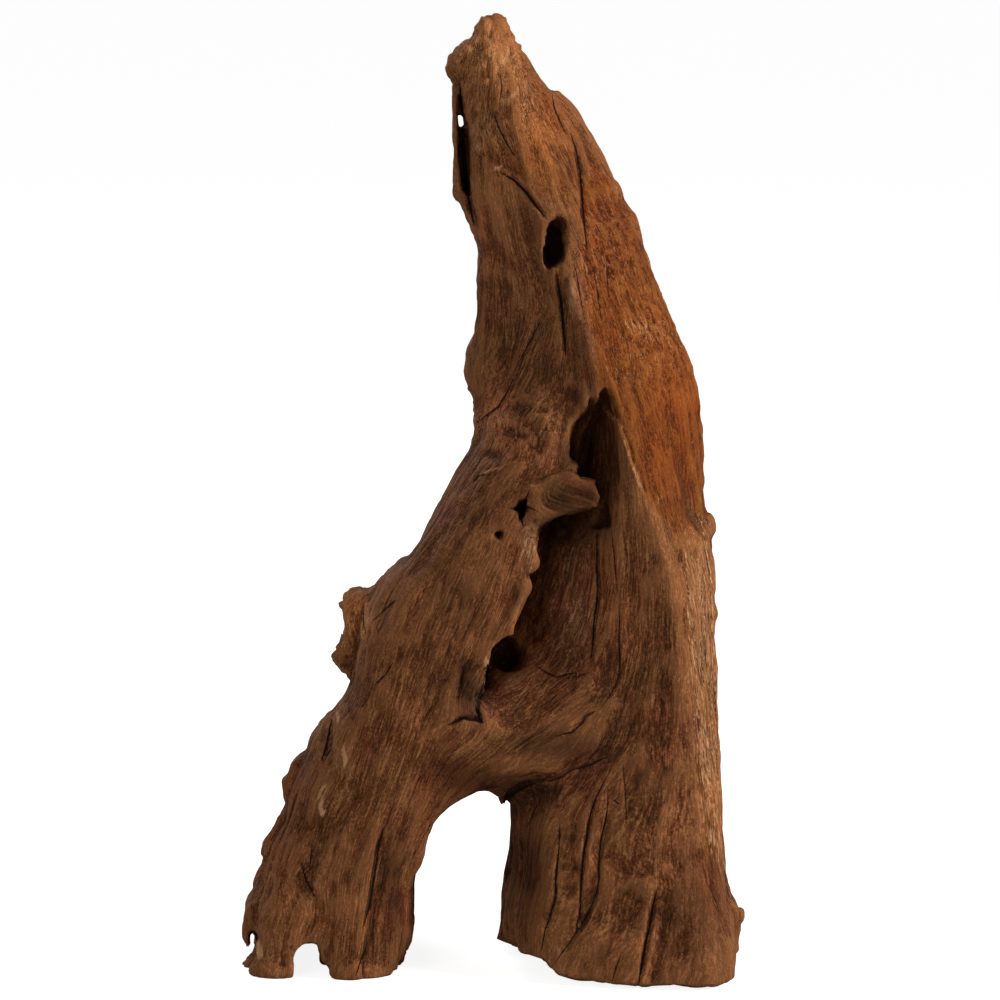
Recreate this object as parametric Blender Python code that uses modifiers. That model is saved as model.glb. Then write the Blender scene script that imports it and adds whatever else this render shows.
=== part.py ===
"""A stump of Malaysian driftwood that stands on two feet, with a swim-through arch between them.

Sizes are in millimetres and are turned to metres where a mesh is made. +Z is up, and -Y is the front.
The wood is one grown piece, so it is one solid: its masses are lofted and joined, its hollows are cut,
and the long flutes and drying cracks of the grain are then pressed into the joined surface.
"""

import bmesh
import bpy
import numpy as np
from mathutils import Euler, Matrix, Vector

MM = 0.001
NAME = "driftwood"

# Real width, depth and height of the whole piece. The tables below are drawn from the photo and come
# out a little smaller, so the finished surface is fitted to this size.
SIZE = (270.0, 178.0, 508.0)

# How far below the drawn zero the feet are made, and how far above it the ground saws them level
BASE_DROP = 9.0
BASE_LIFT = 4.0

# How finely the masses, the joined surface and the finished solid are made
RING_POINTS = 48
RING_STEP = 6.0
ROUGH_VOXEL = 2.5
VOXEL = 2.0
FILLET_PASSES = 60
SMOOTH_PASSES = 2
SOLID_TRIANGLES = 10500

# Colour of the dry wood
WOOD_COLOUR = (0.165, 0.078, 0.036, 1.0)
WOOD_ROUGHNESS = 0.85

# Each station is one level cut through a mass: its height, its left and right sides, the depth at which
# those sides lie, its front and back, and where the front and the back ridge stand. The last number is
# its form: 0 is round, 1 has straight faces that meet in ridges, and -1 is square.
TRUNK = [
    (-BASE_DROP, 5, 127, 12, -86, 92, 110, 70, -0.35),
    (8, 4, 128, 10, -86, 92, 110, 70, -0.38),
    (25, 3, 129, 8, -84, 91, 108, 68, -0.40),
    (40, 5, 125, 6, -81, 88, 105, 66, -0.42),
    (60, 8.5, 122, 4, -78, 84, 103, 66, -0.42),
    (79, 8, 121, 2, -75, 80, 102, 65, -0.38),
    (100, 9, 120, 0, -73, 76, 101, 64, -0.25),
    (130, 16, 119, 0, -71, 72, 99, 62, 0.0),
    (170, 20, 118, 0, -70, 69, 97, 60, 0.20),
    (200, 18, 118, 0, -69, 68, 93, 58, 0.30),
    (222, 14, 117, 0, -68, 67, 89, 56, 0.40),
    (235, 10, 116, 0, -67, 66, 86, 55, 0.43),
    (243, 6, 112, 0, -66, 65, 84, 54, 0.45),
    (265, -6, 110.5, 0, -64, 64, 77, 50, 0.50),
    (286, -12, 109.5, 0, -61, 62, 69, 46, 0.55),
    (297, -11, 108.5, 0, -59, 61, 65, 45, 0.55),
    (307, -13, 107, 0, -58, 60, 61, 44, 0.50),
    (318, -15, 104, 0, -56, 58, 57, 42, 0.50),
    (329, -14, 100, 0, -54, 56, 53, 41, 0.50),
    (339, -12, 96, 0, -52, 54, 49, 40, 0.50),
    (350, -11, 91.5, 0, -50, 52, 45, 38, 0.50),
    (371, -11, 82.5, 2, -46, 49, 37, 34, 0.50),
    (384, -11, 77.5, 3, -43, 47, 32, 30, 0.45),
    (394, -14, 73.5, 4, -41, 45, 29, 28, 0.45),
    (403, -18, 70, 5, -39, 44, 26, 24, 0.40),
    (414, -21.5, 65.5, 6, -37, 42, 23, 20, 0.40),
    (425, -21.5, 60.5, 7, -34, 41, 20, 17, 0.38),
    (436, -21.5, 55, 8, -31, 40, 17, 14, 0.35),
    (447, -21.5, 48.5, 9, -28, 39, 14, 11, 0.32),
    (457, -21.5, 41, 10, -24, 38, 11, 8, 0.30),
    (466, -21.5, 32.5, 11, -20, 35, 8, 4, 0.25),
    (473, -22.5, 25.5, 11, -18, 34, 5, 2, 0.25),
    (479, -24.5, 20, 12, -14, 32, 2, 0, 0.25),
    (485, -20.5, 16, 12, -10, 30, 1, 0, 0.20),
    (491, -14, 12.5, 13, -6, 28, 0, 0, 0.20),
    (498, -9, 9.5, 14, 0, 25, 0, 0, 0.20),
    (505, -4, 4, 14, 6, 21, 0, 0, 0.10),
]
ROOT = [
    (-BASE_DROP, -132, -54, 0, -60, 60, -88, -88, -0.35),
    (4, -133, -49, 0, -60, 60, -88, -86, -0.35),
    (15, -134, -43.5, -1, -61, 59, -86, -84, -0.30),
    (25, -134, -42.5, -2, -61, 56, -84, -83, -0.25),
    (40, -131, -42, -3, -62, 55, -80, -81, -0.20),
    (52, -127, -41, -3, -62, 54, -76, -79, -0.15),
    (63, -124, -39.5, -4, -62, 54, -72, -77, -0.15),
    (74, -120.5, -35, -5, -62, 53, -68, -74, -0.15),
    (84, -115.5, -26, -6, -61, 53, -62, -70, -0.15),
    (94, -112, 2, -7, -60, 53, -54, -64, -0.20),
    (105, -107, 44, -8, -60, 52, -42, -54, -0.25),
    (116, -101.5, 66, -9, -60, 52, -34, -44, -0.28),
    (126, -97.5, 74, -10, -61, 52, -26, -34, -0.30),
    (137, -90.5, 78, -11, -62, 52, -18, -26, -0.30),
    (150, -79, 80, -12, -64, 51, -10, -18, -0.30),
    (170, -74, 80, -13, -65, 51, -4, -10, -0.30),
    (190, -69, 80, -13, -66, 51, 0, -4, -0.28),
    (201, -65, 80, -13, -66, 51, 3, 0, -0.26),
    (211, -60, 80, -12, -66, 51, 6, 2, -0.24),
    (222, -47, 79, -11, -66, 51, 10, 5, -0.20),
    (233, -40, 78, -10, -65, 51, 14, 8, -0.16),
    (243, -34, 76, -9, -64, 50, 18, 10, -0.12),
    (254, -28, 74, -8, -62, 50, 22, 12, -0.08),
    (265, -21, 70, -6, -60, 50, 25, 14, -0.04),
    (286, -10, 62, -3, -55, 49, 28, 18, 0.0),
    (307, -6, 54, -1, -48, 46, 30, 22, 0.05),
    (345, 0, 42, 0, -36, 38, 28, 24, 0.10),
]

# Rounded limbs: points across, deep and up, with the radius at each
LIMBS = {
    "saddle": [
        (-80, -34, 24, 20), (-68, -37, 52, 22), (-50, -40, 82, 20), (-30, -43, 104, 17.5),
        (-8, -45, 116, 17), (16, -46, 122, 19), (40, -46, 134, 21), (60, -44, 150, 20),
        (74, -40, 170, 16),
    ],
    "back_saddle": [
        (-74, 26, 40, 24), (-52, 28, 86, 24), (-20, 30, 116, 20), (20, 34, 126, 24), (56, 38, 116, 26),
    ],
    "back_rib": [
        (26, 20, 440, 10), (44, 38, 350, 16), (60, 46, 250, 22), (78, 52, 150, 27), (88, 58, 60, 30),
        (90, 60, -9, 32),
    ],
    "back_root": [
        (14, 10, 360, 12), (6, 32, 280, 18), (-24, 38, 186, 22), (-56, 42, 100, 24), (-78, 46, 30, 25),
        (-82, 48, -9, 26),
    ],
    "branch_stub": [(-44, 0, 190, 18), (-62, 6, 189, 14), (-80, 10, 188, 12.5)],
    "branch_stub_low": [(-56, 8, 168, 14), (-70, 12, 162.5, 11), (-85, 14, 162, 8.5)],
    "left_boss": [(-92, -8, 104, 14), (-104, -8, 92, 12), (-112, -8, 87, 8)],
    "foot_spur": [(108, -22, 24, 15), (124, -26, 28, 8), (134, -28, 31, 2.5)],
}  # fmt: skip

# A knot that reaches into the front hollow, so it is grown after the hollow is cut
KNOT_STUB = [(14, -40, 246, 13), (32, -48, 255, 12), (46, -53, 258, 10.5), (54, -55, 258, 9)]

# The open hollow down the middle of the front, in the same terms as the masses
HOLLOW = [
    (132, 4, 24, -74, -130, -66, 14, 12, 0.30),
    (141, -5, 40, -74, -130, -56, 16, 6, 0.50),
    (152, -8, 53, -74, -130, -42, 20, -4, 0.60),
    (164, -4, 62, -74, -130, -28, 24, -8, 0.65),
    (176, 1, 67, -74, -130, -20, 30, -6, 0.65),
    (190, 11, 70, -74, -130, -15, 38, 3, 0.65),
    (208, 19, 71, -74, -130, -13, 42, 12, 0.65),
    (224, 25, 70, -74, -130, -12, 45, 19, 0.60),
    (243, 28, 69, -74, -130, -10, 46, 24, 0.55),
    (258, 36, 68, -74, -130, -6, 50, 34, 0.45),
    (272, 42, 67, -72, -130, -6, 53, 42, 0.35),
    (288, 45, 65, -70, -130, -12, 55, 47, 0.25),
    (302, 50, 63, -68, -130, -24, 57, 53, 0.15),
    (312, 53, 61, -66, -130, -40, 57, 56, 0.10),
    (319, 56, 59, -66, -130, -58, 57, 57, 0.0),
]

# The split that parts a thin flake from the left side below the tip
FLAKE_SPLIT = [
    (394, -13, -9, -20, -70, 6, -11, -11, 0.0),
    (406, -17, -12, -20, -70, 12, -14, -14, 0.0),
    (424, -19, -13, -20, -70, 18, -16, -16, 0.0),
    (440, -19, -13, -20, -70, 26, -16, -16, 0.0),
    (450, -19, -14, 0, -70, 60, -17, -17, 0.0),
    (460, -20, -14, 0, -70, 60, -17, -17, 0.0),
    (470, -21, -16, -10, -70, 16, -18, -18, 0.0),
    (481, -24, -20, -15, -70, 2, -22, -22, 0.0),
]

# Egg-shaped cuts: centre, half sizes and turn in degrees
CUTS = [
    ("knot_hole", (32, -48, 391), (6, 30, 15), (0, 12, 0)),
    ("under_root", (3, -34, 173), (13, 30, 10), (0, -20, 20)),
    ("stub_notch", (-90, 10, 175), (12, 40, 3), (0, 22, 0)),
    ("foot_notch", (-96, 0, -6), (10, 90, 29), (0, 0, -1)),
    ("foot_nick", (-136, -12, 14), (9.5, 60, 5.5), (0, 0, 0)),
    ("foot_lift", (8, -40, -4), (37, 110, 21), (0, 0, -14)),
    ("back_pocket", (6, 84, 196), (16, 36, 56), (0, -14, 0)),
    ("back_eye", (20, 70, 300), (7, 26, 13), (0, 14, 0)),
]

# The arch between the feet, as points across and up, joined by a smooth curve
ARCH = [
    (-36, -20), (-37, 20), (-38, 46), (-38, 62), (-35, 77), (-29, 88), (-21, 96), (-11, 101),
    (-3, 101.5), (2.5, 97), (5.5, 90), (5.5, 78), (4, 60), (0, 40), (-3, 20), (-3, -20),
]  # fmt: skip
ARCH_DEPTH = 130.0

# Lines that the grain follows, as across and up, with the place of each across the bundle of fibres
GRAIN_LINES = [
    (0, [(-132, 0), (-124, 51), (-112, 94), (-90, 130), (-73, 169), (-52, 211), (-26, 254),
         (-11, 290), (-13, 325), (-9, 360), (-14, 410), (-20, 470), (-26, 508)]),
    (62, [(-58, 0), (-52, 50), (-45, 80), (-33, 105), (-20, 130), (-8, 150), (5, 180), (25, 217),
          (36, 260), (38, 300), (30, 350), (20, 400), (8, 450), (-2, 508)]),
    (80, [(-44, 0), (-38, 60), (-30, 85), (-10, 105), (15, 118), (45, 145), (58, 170), (60, 200),
          (57, 250), (55, 300), (38, 350), (27, 400), (14, 450), (3, 508)]),
    (86, [(2, 0), (7, 51), (9, 84), (15, 100), (40, 125), (64, 160), (68, 200), (64, 250),
          (58, 300), (42, 350), (31, 400), (17, 450), (5, 508)]),
    (165, [(102, 0), (104, 60), (102, 130), (97, 190), (88, 245), (80, 300), (72, 350), (60, 400),
           (46, 450), (30, 508)]),
    (190, [(129, 0), (122, 60), (119, 130), (116, 220), (111, 275), (104, 318), (96, 360),
           (84, 400), (66, 450), (40, 508)]),
]  # fmt: skip

# Swells and flutes of the grain: spacing across, length along, and height
FLUTES = [(40.0, 90.0, 1.2), (17.0, 120.0, 1.1), (8.0, 70.0, 0.7)]

# Wide drying cracks: side of the piece, width, depth, and points across and up
CRACKS = [
    ("front", 4.5, 4.0, [(-57, 84), (-60, 56), (-65, 30), (-72, 0)]),
    ("front", 4.0, 3.5, [(88, 46), (84, 22), (79, -4)]),
    ("front", 3.5, 3.0, [(60, 104), (53, 70), (48, 44), (36, 22)]),
    ("front", 4.0, 3.0, [(32, 374), (38, 348), (41, 322)]),
    ("back", 4.5, 3.5, [(70, 320), (66, 240), (72, 170), (70, 80)]),
    ("back", 4.0, 3.5, [(-14, 210), (-44, 130), (-64, 50)]),
    ("back", 4.0, 3.0, [(30, 450), (34, 380), (28, 320)]),
]
NOISE_SEED = 20


def clear_scene():
    """Empties the scene, so that only the driftwood is in it."""
    for obj in list(bpy.data.objects):
        bpy.data.objects.remove(obj)


def new_collection(name):
    """Adds a named collection to the scene."""
    made = bpy.data.collections.new(name)
    bpy.context.scene.collection.children.link(made)
    return made


def object_from(mesh, name, collection):
    """Writes a bmesh, in millimetres, to a new object in metres."""
    bmesh.ops.scale(mesh, vec=(MM, MM, MM), verts=mesh.verts)
    bmesh.ops.recalc_face_normals(mesh, faces=mesh.faces)
    data = bpy.data.meshes.new(name)
    mesh.to_mesh(data)
    mesh.free()
    obj = bpy.data.objects.new(name, data)
    collection.objects.link(obj)
    return obj


def smooth_rows(rows, step):
    """Reads rows, keyed by their first column, off a smooth curve at even steps."""
    rows = np.array(rows, float)
    keys = rows[:, 0]
    slopes = np.gradient(rows, keys, axis=0)
    count = int(np.ceil((keys[-1] - keys[0]) / step)) + 1
    at = np.linspace(keys[0], keys[-1], count)
    low = np.clip(np.searchsorted(keys, at, side="right") - 1, 0, len(keys) - 2)
    gap = (keys[low + 1] - keys[low])[:, None]
    t = ((at - keys[low])[:, None]) / gap
    return (
        (2 * t**3 - 3 * t**2 + 1) * rows[low]
        + (t**3 - 2 * t**2 + t) * gap * slopes[low]
        + (3 * t**2 - 2 * t**3) * rows[low + 1]
        + (t**3 - t**2) * gap * slopes[low + 1]
    )


def section(row):
    """The points of one level cut, anticlockwise from its right side."""
    height, left, right, mid, front, back, front_ridge, back_ridge, form = row
    for turn in np.linspace(0, 2 * np.pi, RING_POINTS, endpoint=False):
        ridge, face = (back_ridge, back) if np.sin(turn) > 0 else (front_ridge, front)
        side = right if np.cos(turn) > 0 else left
        across, deep = abs(np.cos(turn)), abs(np.sin(turn))
        if form > 0:
            deep += form * (1 - across - deep)
        else:
            reach = 1 - form * (1 / max(across, deep) - 1)
            across *= reach
            deep *= reach
        x = ridge + across * (side - ridge)
        y = mid + deep * (face - mid)
        yield Vector((x, y, height))


def loft(name, stations, collection):
    """A closed mass or cutter that runs through level cuts."""
    mesh = bmesh.new()
    loops = []
    for row in smooth_rows(stations, RING_STEP):
        ring = bmesh.ops.create_circle(mesh, segments=RING_POINTS, radius=1.0)["verts"]
        for vert, place in zip(ring, section(row)):
            vert.co = place
        loops.append(list({edge for vert in ring for edge in vert.link_edges}))
    for low, high in zip(loops, loops[1:]):
        bmesh.ops.bridge_loops(mesh, edges=low + high)
    for end in (loops[0], loops[-1]):
        bmesh.ops.contextual_create(mesh, geom=end)
    return object_from(mesh, name, collection)


def egg(name, centre, half_sizes, turn, collection):
    """A closed egg shape, turned about its centre."""
    mesh = bmesh.new()
    turned = Euler(np.radians(turn)).to_matrix().to_4x4()
    place = Matrix.Translation(centre) @ turned @ Matrix.Diagonal((*half_sizes, 1))
    bmesh.ops.create_icosphere(mesh, subdivisions=3, radius=1.0, matrix=place)
    return object_from(mesh, name, collection)


def arch_cutter(collection):
    """The arch's outline as a flat curve, thickened from front to back and made a mesh."""
    curve = bpy.data.curves.new("arch", "CURVE")
    curve.dimensions = "2D"
    curve.fill_mode = "BOTH"
    curve.extrude = ARCH_DEPTH * MM
    curve.resolution_u = 4
    spline = curve.splines.new("BEZIER")
    spline.bezier_points.add(len(ARCH) - 1)
    for point, (across, up) in zip(spline.bezier_points, ARCH):
        point.co = (across * MM, up * MM, 0)
        point.handle_left_type = point.handle_right_type = "AUTO"
    spline.use_cyclic_u = True
    flat = bpy.data.objects.new("arch_outline", curve)
    flat.rotation_euler = (np.pi / 2, 0, 0)
    collection.objects.link(flat)
    return made_mesh(flat, "arch", collection)


def made_mesh(obj, name, collection):
    """Turns a curve, or an object with modifiers, into a plain closed mesh at its place."""
    bpy.context.view_layer.update()
    graph = bpy.context.evaluated_depsgraph_get()
    data = bpy.data.meshes.new_from_object(obj.evaluated_get(graph))
    data.transform(obj.matrix_world)
    mesh = bmesh.new()
    mesh.from_mesh(data)
    bmesh.ops.remove_doubles(mesh, verts=mesh.verts, dist=1e-6)
    bmesh.ops.recalc_face_normals(mesh, faces=mesh.faces)
    mesh.to_mesh(data)
    mesh.free()
    bpy.data.objects.remove(obj)
    made = bpy.data.objects.new(name, data)
    collection.objects.link(made)
    return made


def limb(name, points, collection):
    """A rounded limb along a smooth curve, made a mesh so that it can be joined."""
    curve = bpy.data.curves.new(name, "CURVE")
    curve.dimensions = "3D"
    curve.bevel_depth = MM
    curve.bevel_resolution = 4
    curve.resolution_u = 5
    curve.use_fill_caps = True
    spline = curve.splines.new("BEZIER")
    spline.bezier_points.add(len(points) - 1)
    for point, (across, deep, up, radius) in zip(spline.bezier_points, points):
        point.co = (across * MM, deep * MM, up * MM)
        point.radius = radius
        point.handle_left_type = point.handle_right_type = "AUTO"
    line = bpy.data.objects.new(name + "_line", curve)
    collection.objects.link(line)
    return made_mesh(line, name, collection)


def combine(obj, operation, others):
    """Adds a Boolean modifier that joins a collection to obj, or cuts it out."""
    step = obj.modifiers.new(operation.lower(), "BOOLEAN")
    step.operation = operation
    step.operand_type = "COLLECTION"
    step.collection = others
    step.solver = "EXACT"


def even_out(obj, voxel):
    """Adds a voxel remesh to obj."""
    step = obj.modifiers.new("even_mesh", "REMESH")
    step.mode = "VOXEL"
    step.voxel_size = voxel * MM


def soften(obj, passes):
    """Adds a smoothing modifier to obj."""
    step = obj.modifiers.new("soften", "SMOOTH")
    step.factor = 0.5
    step.iterations = passes


def empty_out(collection):
    """Removes every object of a collection of helpers."""
    for obj in list(collection.objects):
        bpy.data.objects.remove(obj)


def surface_of(data):
    """A mesh's points, in millimetres, and its normals."""
    points = np.empty(len(data.vertices) * 3)
    normals = np.empty(len(data.vertices) * 3)
    data.vertices.foreach_get("co", points)
    data.vertex_normals.foreach_get("vector", normals)
    return points.reshape(-1, 3) / MM, normals.reshape(-1, 3)


def fill_creases(obj, collection):
    """Fills the creases where masses meet, as grown wood does, and leaves the ridges as they are."""
    points, normals = surface_of(obj.data)
    smoothed = obj.copy()
    smoothed.data = obj.data.copy()
    collection.objects.link(smoothed)
    soften(smoothed, FILLET_PASSES)
    smoothed = made_mesh(smoothed, "smoothed", collection)
    soft_points, _ = surface_of(smoothed.data)
    outward = np.einsum("ij,ij->i", soft_points - points, normals)
    points += normals * np.maximum(outward, 0)[:, None]
    obj.data.vertices.foreach_set("co", (points * MM).ravel())
    obj.data.update()
    bpy.data.objects.remove(smoothed)


def joined_masses(wood):
    """The trunk, the root and their limbs, grown together as one even mesh."""
    masses = new_collection("masses")
    trunk = loft("trunk", TRUNK, wood)
    loft("root", ROOT, masses)
    for name, points in LIMBS.items():
        limb(name, points, masses)
    combine(trunk, "UNION", masses)
    even_out(trunk, ROUGH_VOXEL)
    joined = made_mesh(trunk, NAME, wood)
    empty_out(masses)
    fill_creases(joined, wood)
    return joined


def hollowed(solid, wood):
    """The solid with its hollows, notches and arch cut out, as one even mesh."""
    cutters = new_collection("cutters")
    loft("hollow", HOLLOW, cutters)
    loft("flake_split", FLAKE_SPLIT, cutters)
    for cut in CUTS:
        egg(*cut, cutters)
    arch_cutter(cutters)
    combine(solid, "DIFFERENCE", cutters)
    stubs = new_collection("stubs")
    limb("knot_stub", KNOT_STUB, stubs)
    combine(solid, "UNION", stubs)
    even_out(solid, VOXEL)
    soften(solid, SMOOTH_PASSES)
    made = made_mesh(solid, NAME, wood)
    empty_out(cutters)
    empty_out(stubs)
    return made, cutters


def lattice_noise(points, seed):
    """Smooth noise from -1 to 1 at each point, with a cell size of one."""
    random = np.random.default_rng(seed)
    order = random.permutation(256)
    values = random.uniform(-1, 1, 256)
    cell = np.floor(points).astype(int)
    part = points - cell
    part = part**3 * (part * (part * 6 - 15) + 10)
    total = np.zeros(len(points))
    for corner in np.ndindex(2, 2, 2):
        at = (cell + corner) & 255
        picked = order[(order[(order[at[:, 0]] + at[:, 1]) & 255] + at[:, 2]) & 255]
        total += values[picked] * np.prod(np.where(corner, part, 1 - part), axis=1)
    return total


def grain_across(x, z):
    """Where each point lies across the bundle of fibres, in millimetres."""
    places = [place for place, _ in GRAIN_LINES]
    lines = [
        np.interp(z, [up for _, up in line], [across for across, _ in line])
        for _, line in GRAIN_LINES
    ]
    across = places[0] + (x - lines[0])
    for low, high, start, end in zip(lines, lines[1:], places, places[1:]):
        share = (x - low) / np.maximum(high - low, 1.0)
        across = np.where(x >= low, start + share * (end - start), across)
    return np.where(x > lines[-1], places[-1] + (x - lines[-1]), across)


def crack_depth(points, normals, side, width, depth, line):
    """How deep one crack is pressed into each point of the surface; it dies away at both ends."""
    facing = normals[:, 1] < -0.15 if side == "front" else normals[:, 1] > 0.15
    flat = points[:, [0, 2]]
    nearest = np.full(len(points), np.inf)
    place = np.zeros(len(points))
    pieces = len(line) - 1
    for number, (start, end) in enumerate(zip(np.array(line[:-1], float), np.array(line[1:], float))):
        along = end - start
        share = np.clip((flat - start) @ along / (along @ along), 0, 1)
        gap = np.linalg.norm(flat - start - share[:, None] * along, axis=1)
        place = np.where(gap < nearest, (number + share) / pieces, place)
        nearest = np.minimum(nearest, gap)
    strength = np.sqrt(np.maximum(4 * place * (1 - place), 0))
    return np.where(facing, depth * strength * np.exp(-((nearest / (width / 2)) ** 2)), 0)


def press_in_grain(obj):
    """Moves the surface in and out along its normals, by the flutes and the cracks."""
    points, normals = surface_of(obj.data)
    across = grain_across(points[:, 0], points[:, 2])
    lift = np.zeros(len(points))
    for layer, (spacing, length, height) in enumerate(FLUTES):
        fibre = np.stack([across / spacing, points[:, 1] / spacing, points[:, 2] / length], 1)
        lift += height * lattice_noise(fibre, NOISE_SEED + layer)
    for crack in CRACKS:
        lift -= crack_depth(points, normals, *crack)
    moved = points + normals * lift[:, None]
    obj.data.vertices.foreach_set("co", (moved * MM).ravel())
    obj.data.update()


def fit_to_size(obj):
    """Centres the wood over the origin and fits it to its real size above the ground."""
    points, _ = surface_of(obj.data)
    low, high = points.min(0), points.max(0)
    low[2] = BASE_LIFT
    start = (low + high) / 2
    start[2] = BASE_LIFT
    fitted = (points - start) * (np.array(SIZE) / (high - low))
    obj.data.vertices.foreach_set("co", (fitted * MM).ravel())
    obj.data.update()


def finish_solid(obj, cutters):
    """Thins the mesh to a light solid and saws the feet level, with modifiers that stay live."""
    thin = obj.modifiers.new("thin", "DECIMATE")
    thin.ratio = SOLID_TRIANGLES / (2 * len(obj.data.polygons))
    thin.use_collapse_triangulate = True
    ground = bmesh.new()
    bmesh.ops.create_cube(ground, size=1.0, matrix=Matrix.Diagonal((400, 400, 40, 1)))
    bmesh.ops.translate(ground, vec=(0, 0, -20), verts=ground.verts)
    block = object_from(ground, "ground", cutters)
    block.hide_render = True
    block.display_type = "WIRE"
    saw = obj.modifiers.new("level_feet", "BOOLEAN")
    saw.operation = "DIFFERENCE"
    saw.object = block
    saw.solver = "EXACT"


def wood_material():
    """Plain dry brown wood."""
    material = bpy.data.materials.new("dry_wood")
    material.use_nodes = True
    shader = material.node_tree.nodes["Principled BSDF"]
    shader.inputs["Base Color"].default_value = WOOD_COLOUR
    shader.inputs["Roughness"].default_value = WOOD_ROUGHNESS
    shader.inputs["Metallic"].default_value = 0.0
    return material


def main():
    clear_scene()
    wood = new_collection(NAME)
    driftwood, cutters = hollowed(joined_masses(wood), wood)
    press_in_grain(driftwood)
    fit_to_size(driftwood)
    finish_solid(driftwood, cutters)
    driftwood.data.materials.append(wood_material())


main()
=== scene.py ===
"""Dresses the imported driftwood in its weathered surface, in a plain studio.

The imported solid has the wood's masses, hollows and wide flutes. This script takes a copy of it, adds and
cuts the small shapes of its outline, and gives it the furrows, splits, pits and torn fibres of old dry wood,
with a material whose grain follows the same fibres. Lengths are millimetres. Lines and outlines in the
tables are places in the frame of the photograph, 1000 by 1000 pixels, as pixels from its left and from its
top in turn. Those of the sides that it doesn't show are in the pixels of a photograph taken from there, and
are listed under that side's angle in degrees.
"""

import functools
import math

import bmesh
import bpy
import numpy as np
from bpy.props import FloatProperty, FloatVectorProperty, IntProperty, PointerProperty
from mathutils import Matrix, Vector


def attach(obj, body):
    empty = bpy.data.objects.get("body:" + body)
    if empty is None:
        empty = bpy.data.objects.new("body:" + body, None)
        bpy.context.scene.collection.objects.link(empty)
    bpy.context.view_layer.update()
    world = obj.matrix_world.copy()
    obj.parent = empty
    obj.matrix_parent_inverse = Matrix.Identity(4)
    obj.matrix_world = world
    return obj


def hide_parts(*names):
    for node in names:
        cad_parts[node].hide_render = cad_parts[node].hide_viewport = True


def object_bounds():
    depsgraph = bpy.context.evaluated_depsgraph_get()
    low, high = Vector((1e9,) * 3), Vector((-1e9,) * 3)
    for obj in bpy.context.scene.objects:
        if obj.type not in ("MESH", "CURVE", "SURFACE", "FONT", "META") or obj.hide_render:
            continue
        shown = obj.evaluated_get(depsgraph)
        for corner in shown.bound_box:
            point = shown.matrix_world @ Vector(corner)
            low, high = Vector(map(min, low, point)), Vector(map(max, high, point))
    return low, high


bl_info = {
    "name": "Malaysian Driftwood",
    "version": (1, 0, 0),
    "blender": (4, 5, 0),
    "location": "View3D > Sidebar > Driftwood",
    "description": "Weathered driftwood with split grain, on a plain studio floor",
    "category": "Object",
}

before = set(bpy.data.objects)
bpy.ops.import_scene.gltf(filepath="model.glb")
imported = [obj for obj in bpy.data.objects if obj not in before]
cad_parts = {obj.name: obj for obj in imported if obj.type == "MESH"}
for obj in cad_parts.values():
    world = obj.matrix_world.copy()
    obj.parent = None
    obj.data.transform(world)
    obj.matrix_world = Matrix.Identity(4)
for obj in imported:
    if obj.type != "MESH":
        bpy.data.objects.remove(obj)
CAD_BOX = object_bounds()

MM = 0.001
NODE = "driftwood"

# How the photograph was taken: the camera's height angle and distance, what it aims at, and how many of
# the photograph's pixels one metre takes at that point
CAMERA_ELEVATION = math.radians(8.0)
CAMERA_DISTANCE = 2.4
CAMERA_AIM = Vector((0.0037, 0.0, 0.2482))
CAMERA_SENSOR = 36.0
PHOTO_SIDE = 1000
PIXELS_PER_METRE = 1865.0

# What the lights look at, and for each its place, its size, its colour, the power that it takes from the
# studio's settings and how many times it takes it
LIGHT_AIM = (0, 0, 0.25)
LIGHTS = {
    "key": ((2.25, -0.75, 1.35), 0.8, (1.0, 0.94, 0.86), "key_power", 1),
    "fill": ((-1.4, -2.2, 1.2), 1.4, (1.0, 0.96, 0.92), "fill_power", 1),
    "rim": ((-1.0, 2.0, 1.4), 1.2, (1.0, 0.97, 0.94), "fill_power", 2),
}

# The floor's grey, how much it glows for the camera alone, and how much of the air's light reaches the wood
FLOOR_GREY = 0.50
FLOOR_GLOW = 0.88
AIR_LIGHT = 0.21

# How far from a split, a lip and an added or cut shape the wood is worked, in pixels, and how far in
# front of and behind that shape, in millimetres
SPLIT_REACH = 12
LIP_REACH = 16
SHAPE_REACH = 14
SHAPE_MARGIN = 4

# How squarely a point has to face a side to take that side's lines
SQUARE_ENOUGH = 0.4

# Where the bundle of fibres has its middle and its two edges, how far each edge reaches, and how far
# it draws in the fibres of the faces that turn away from the camera
BUNDLE_MIDDLE = 124
BUNDLE_EDGES = (8, 234)
EDGE_REACH = 28
EDGE_DRAW = 0.85

# Passes that find the surface around a point, and the gap to a split of a point with no split near it
HOLLOW_PASSES = 14
NO_SPLIT = 9.0

# The stains that the material reads, the dark one partly painted shade, in the order in which it reads them
STAINS_AND_SHADE = ("dark", "orange", "pale")

# How many times a grey of strength 1 doubles the wood's red, green and blue
GREY_SHIFT = (-0.22, 0.03, 0.36)
NOISE_SEED = 7

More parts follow.
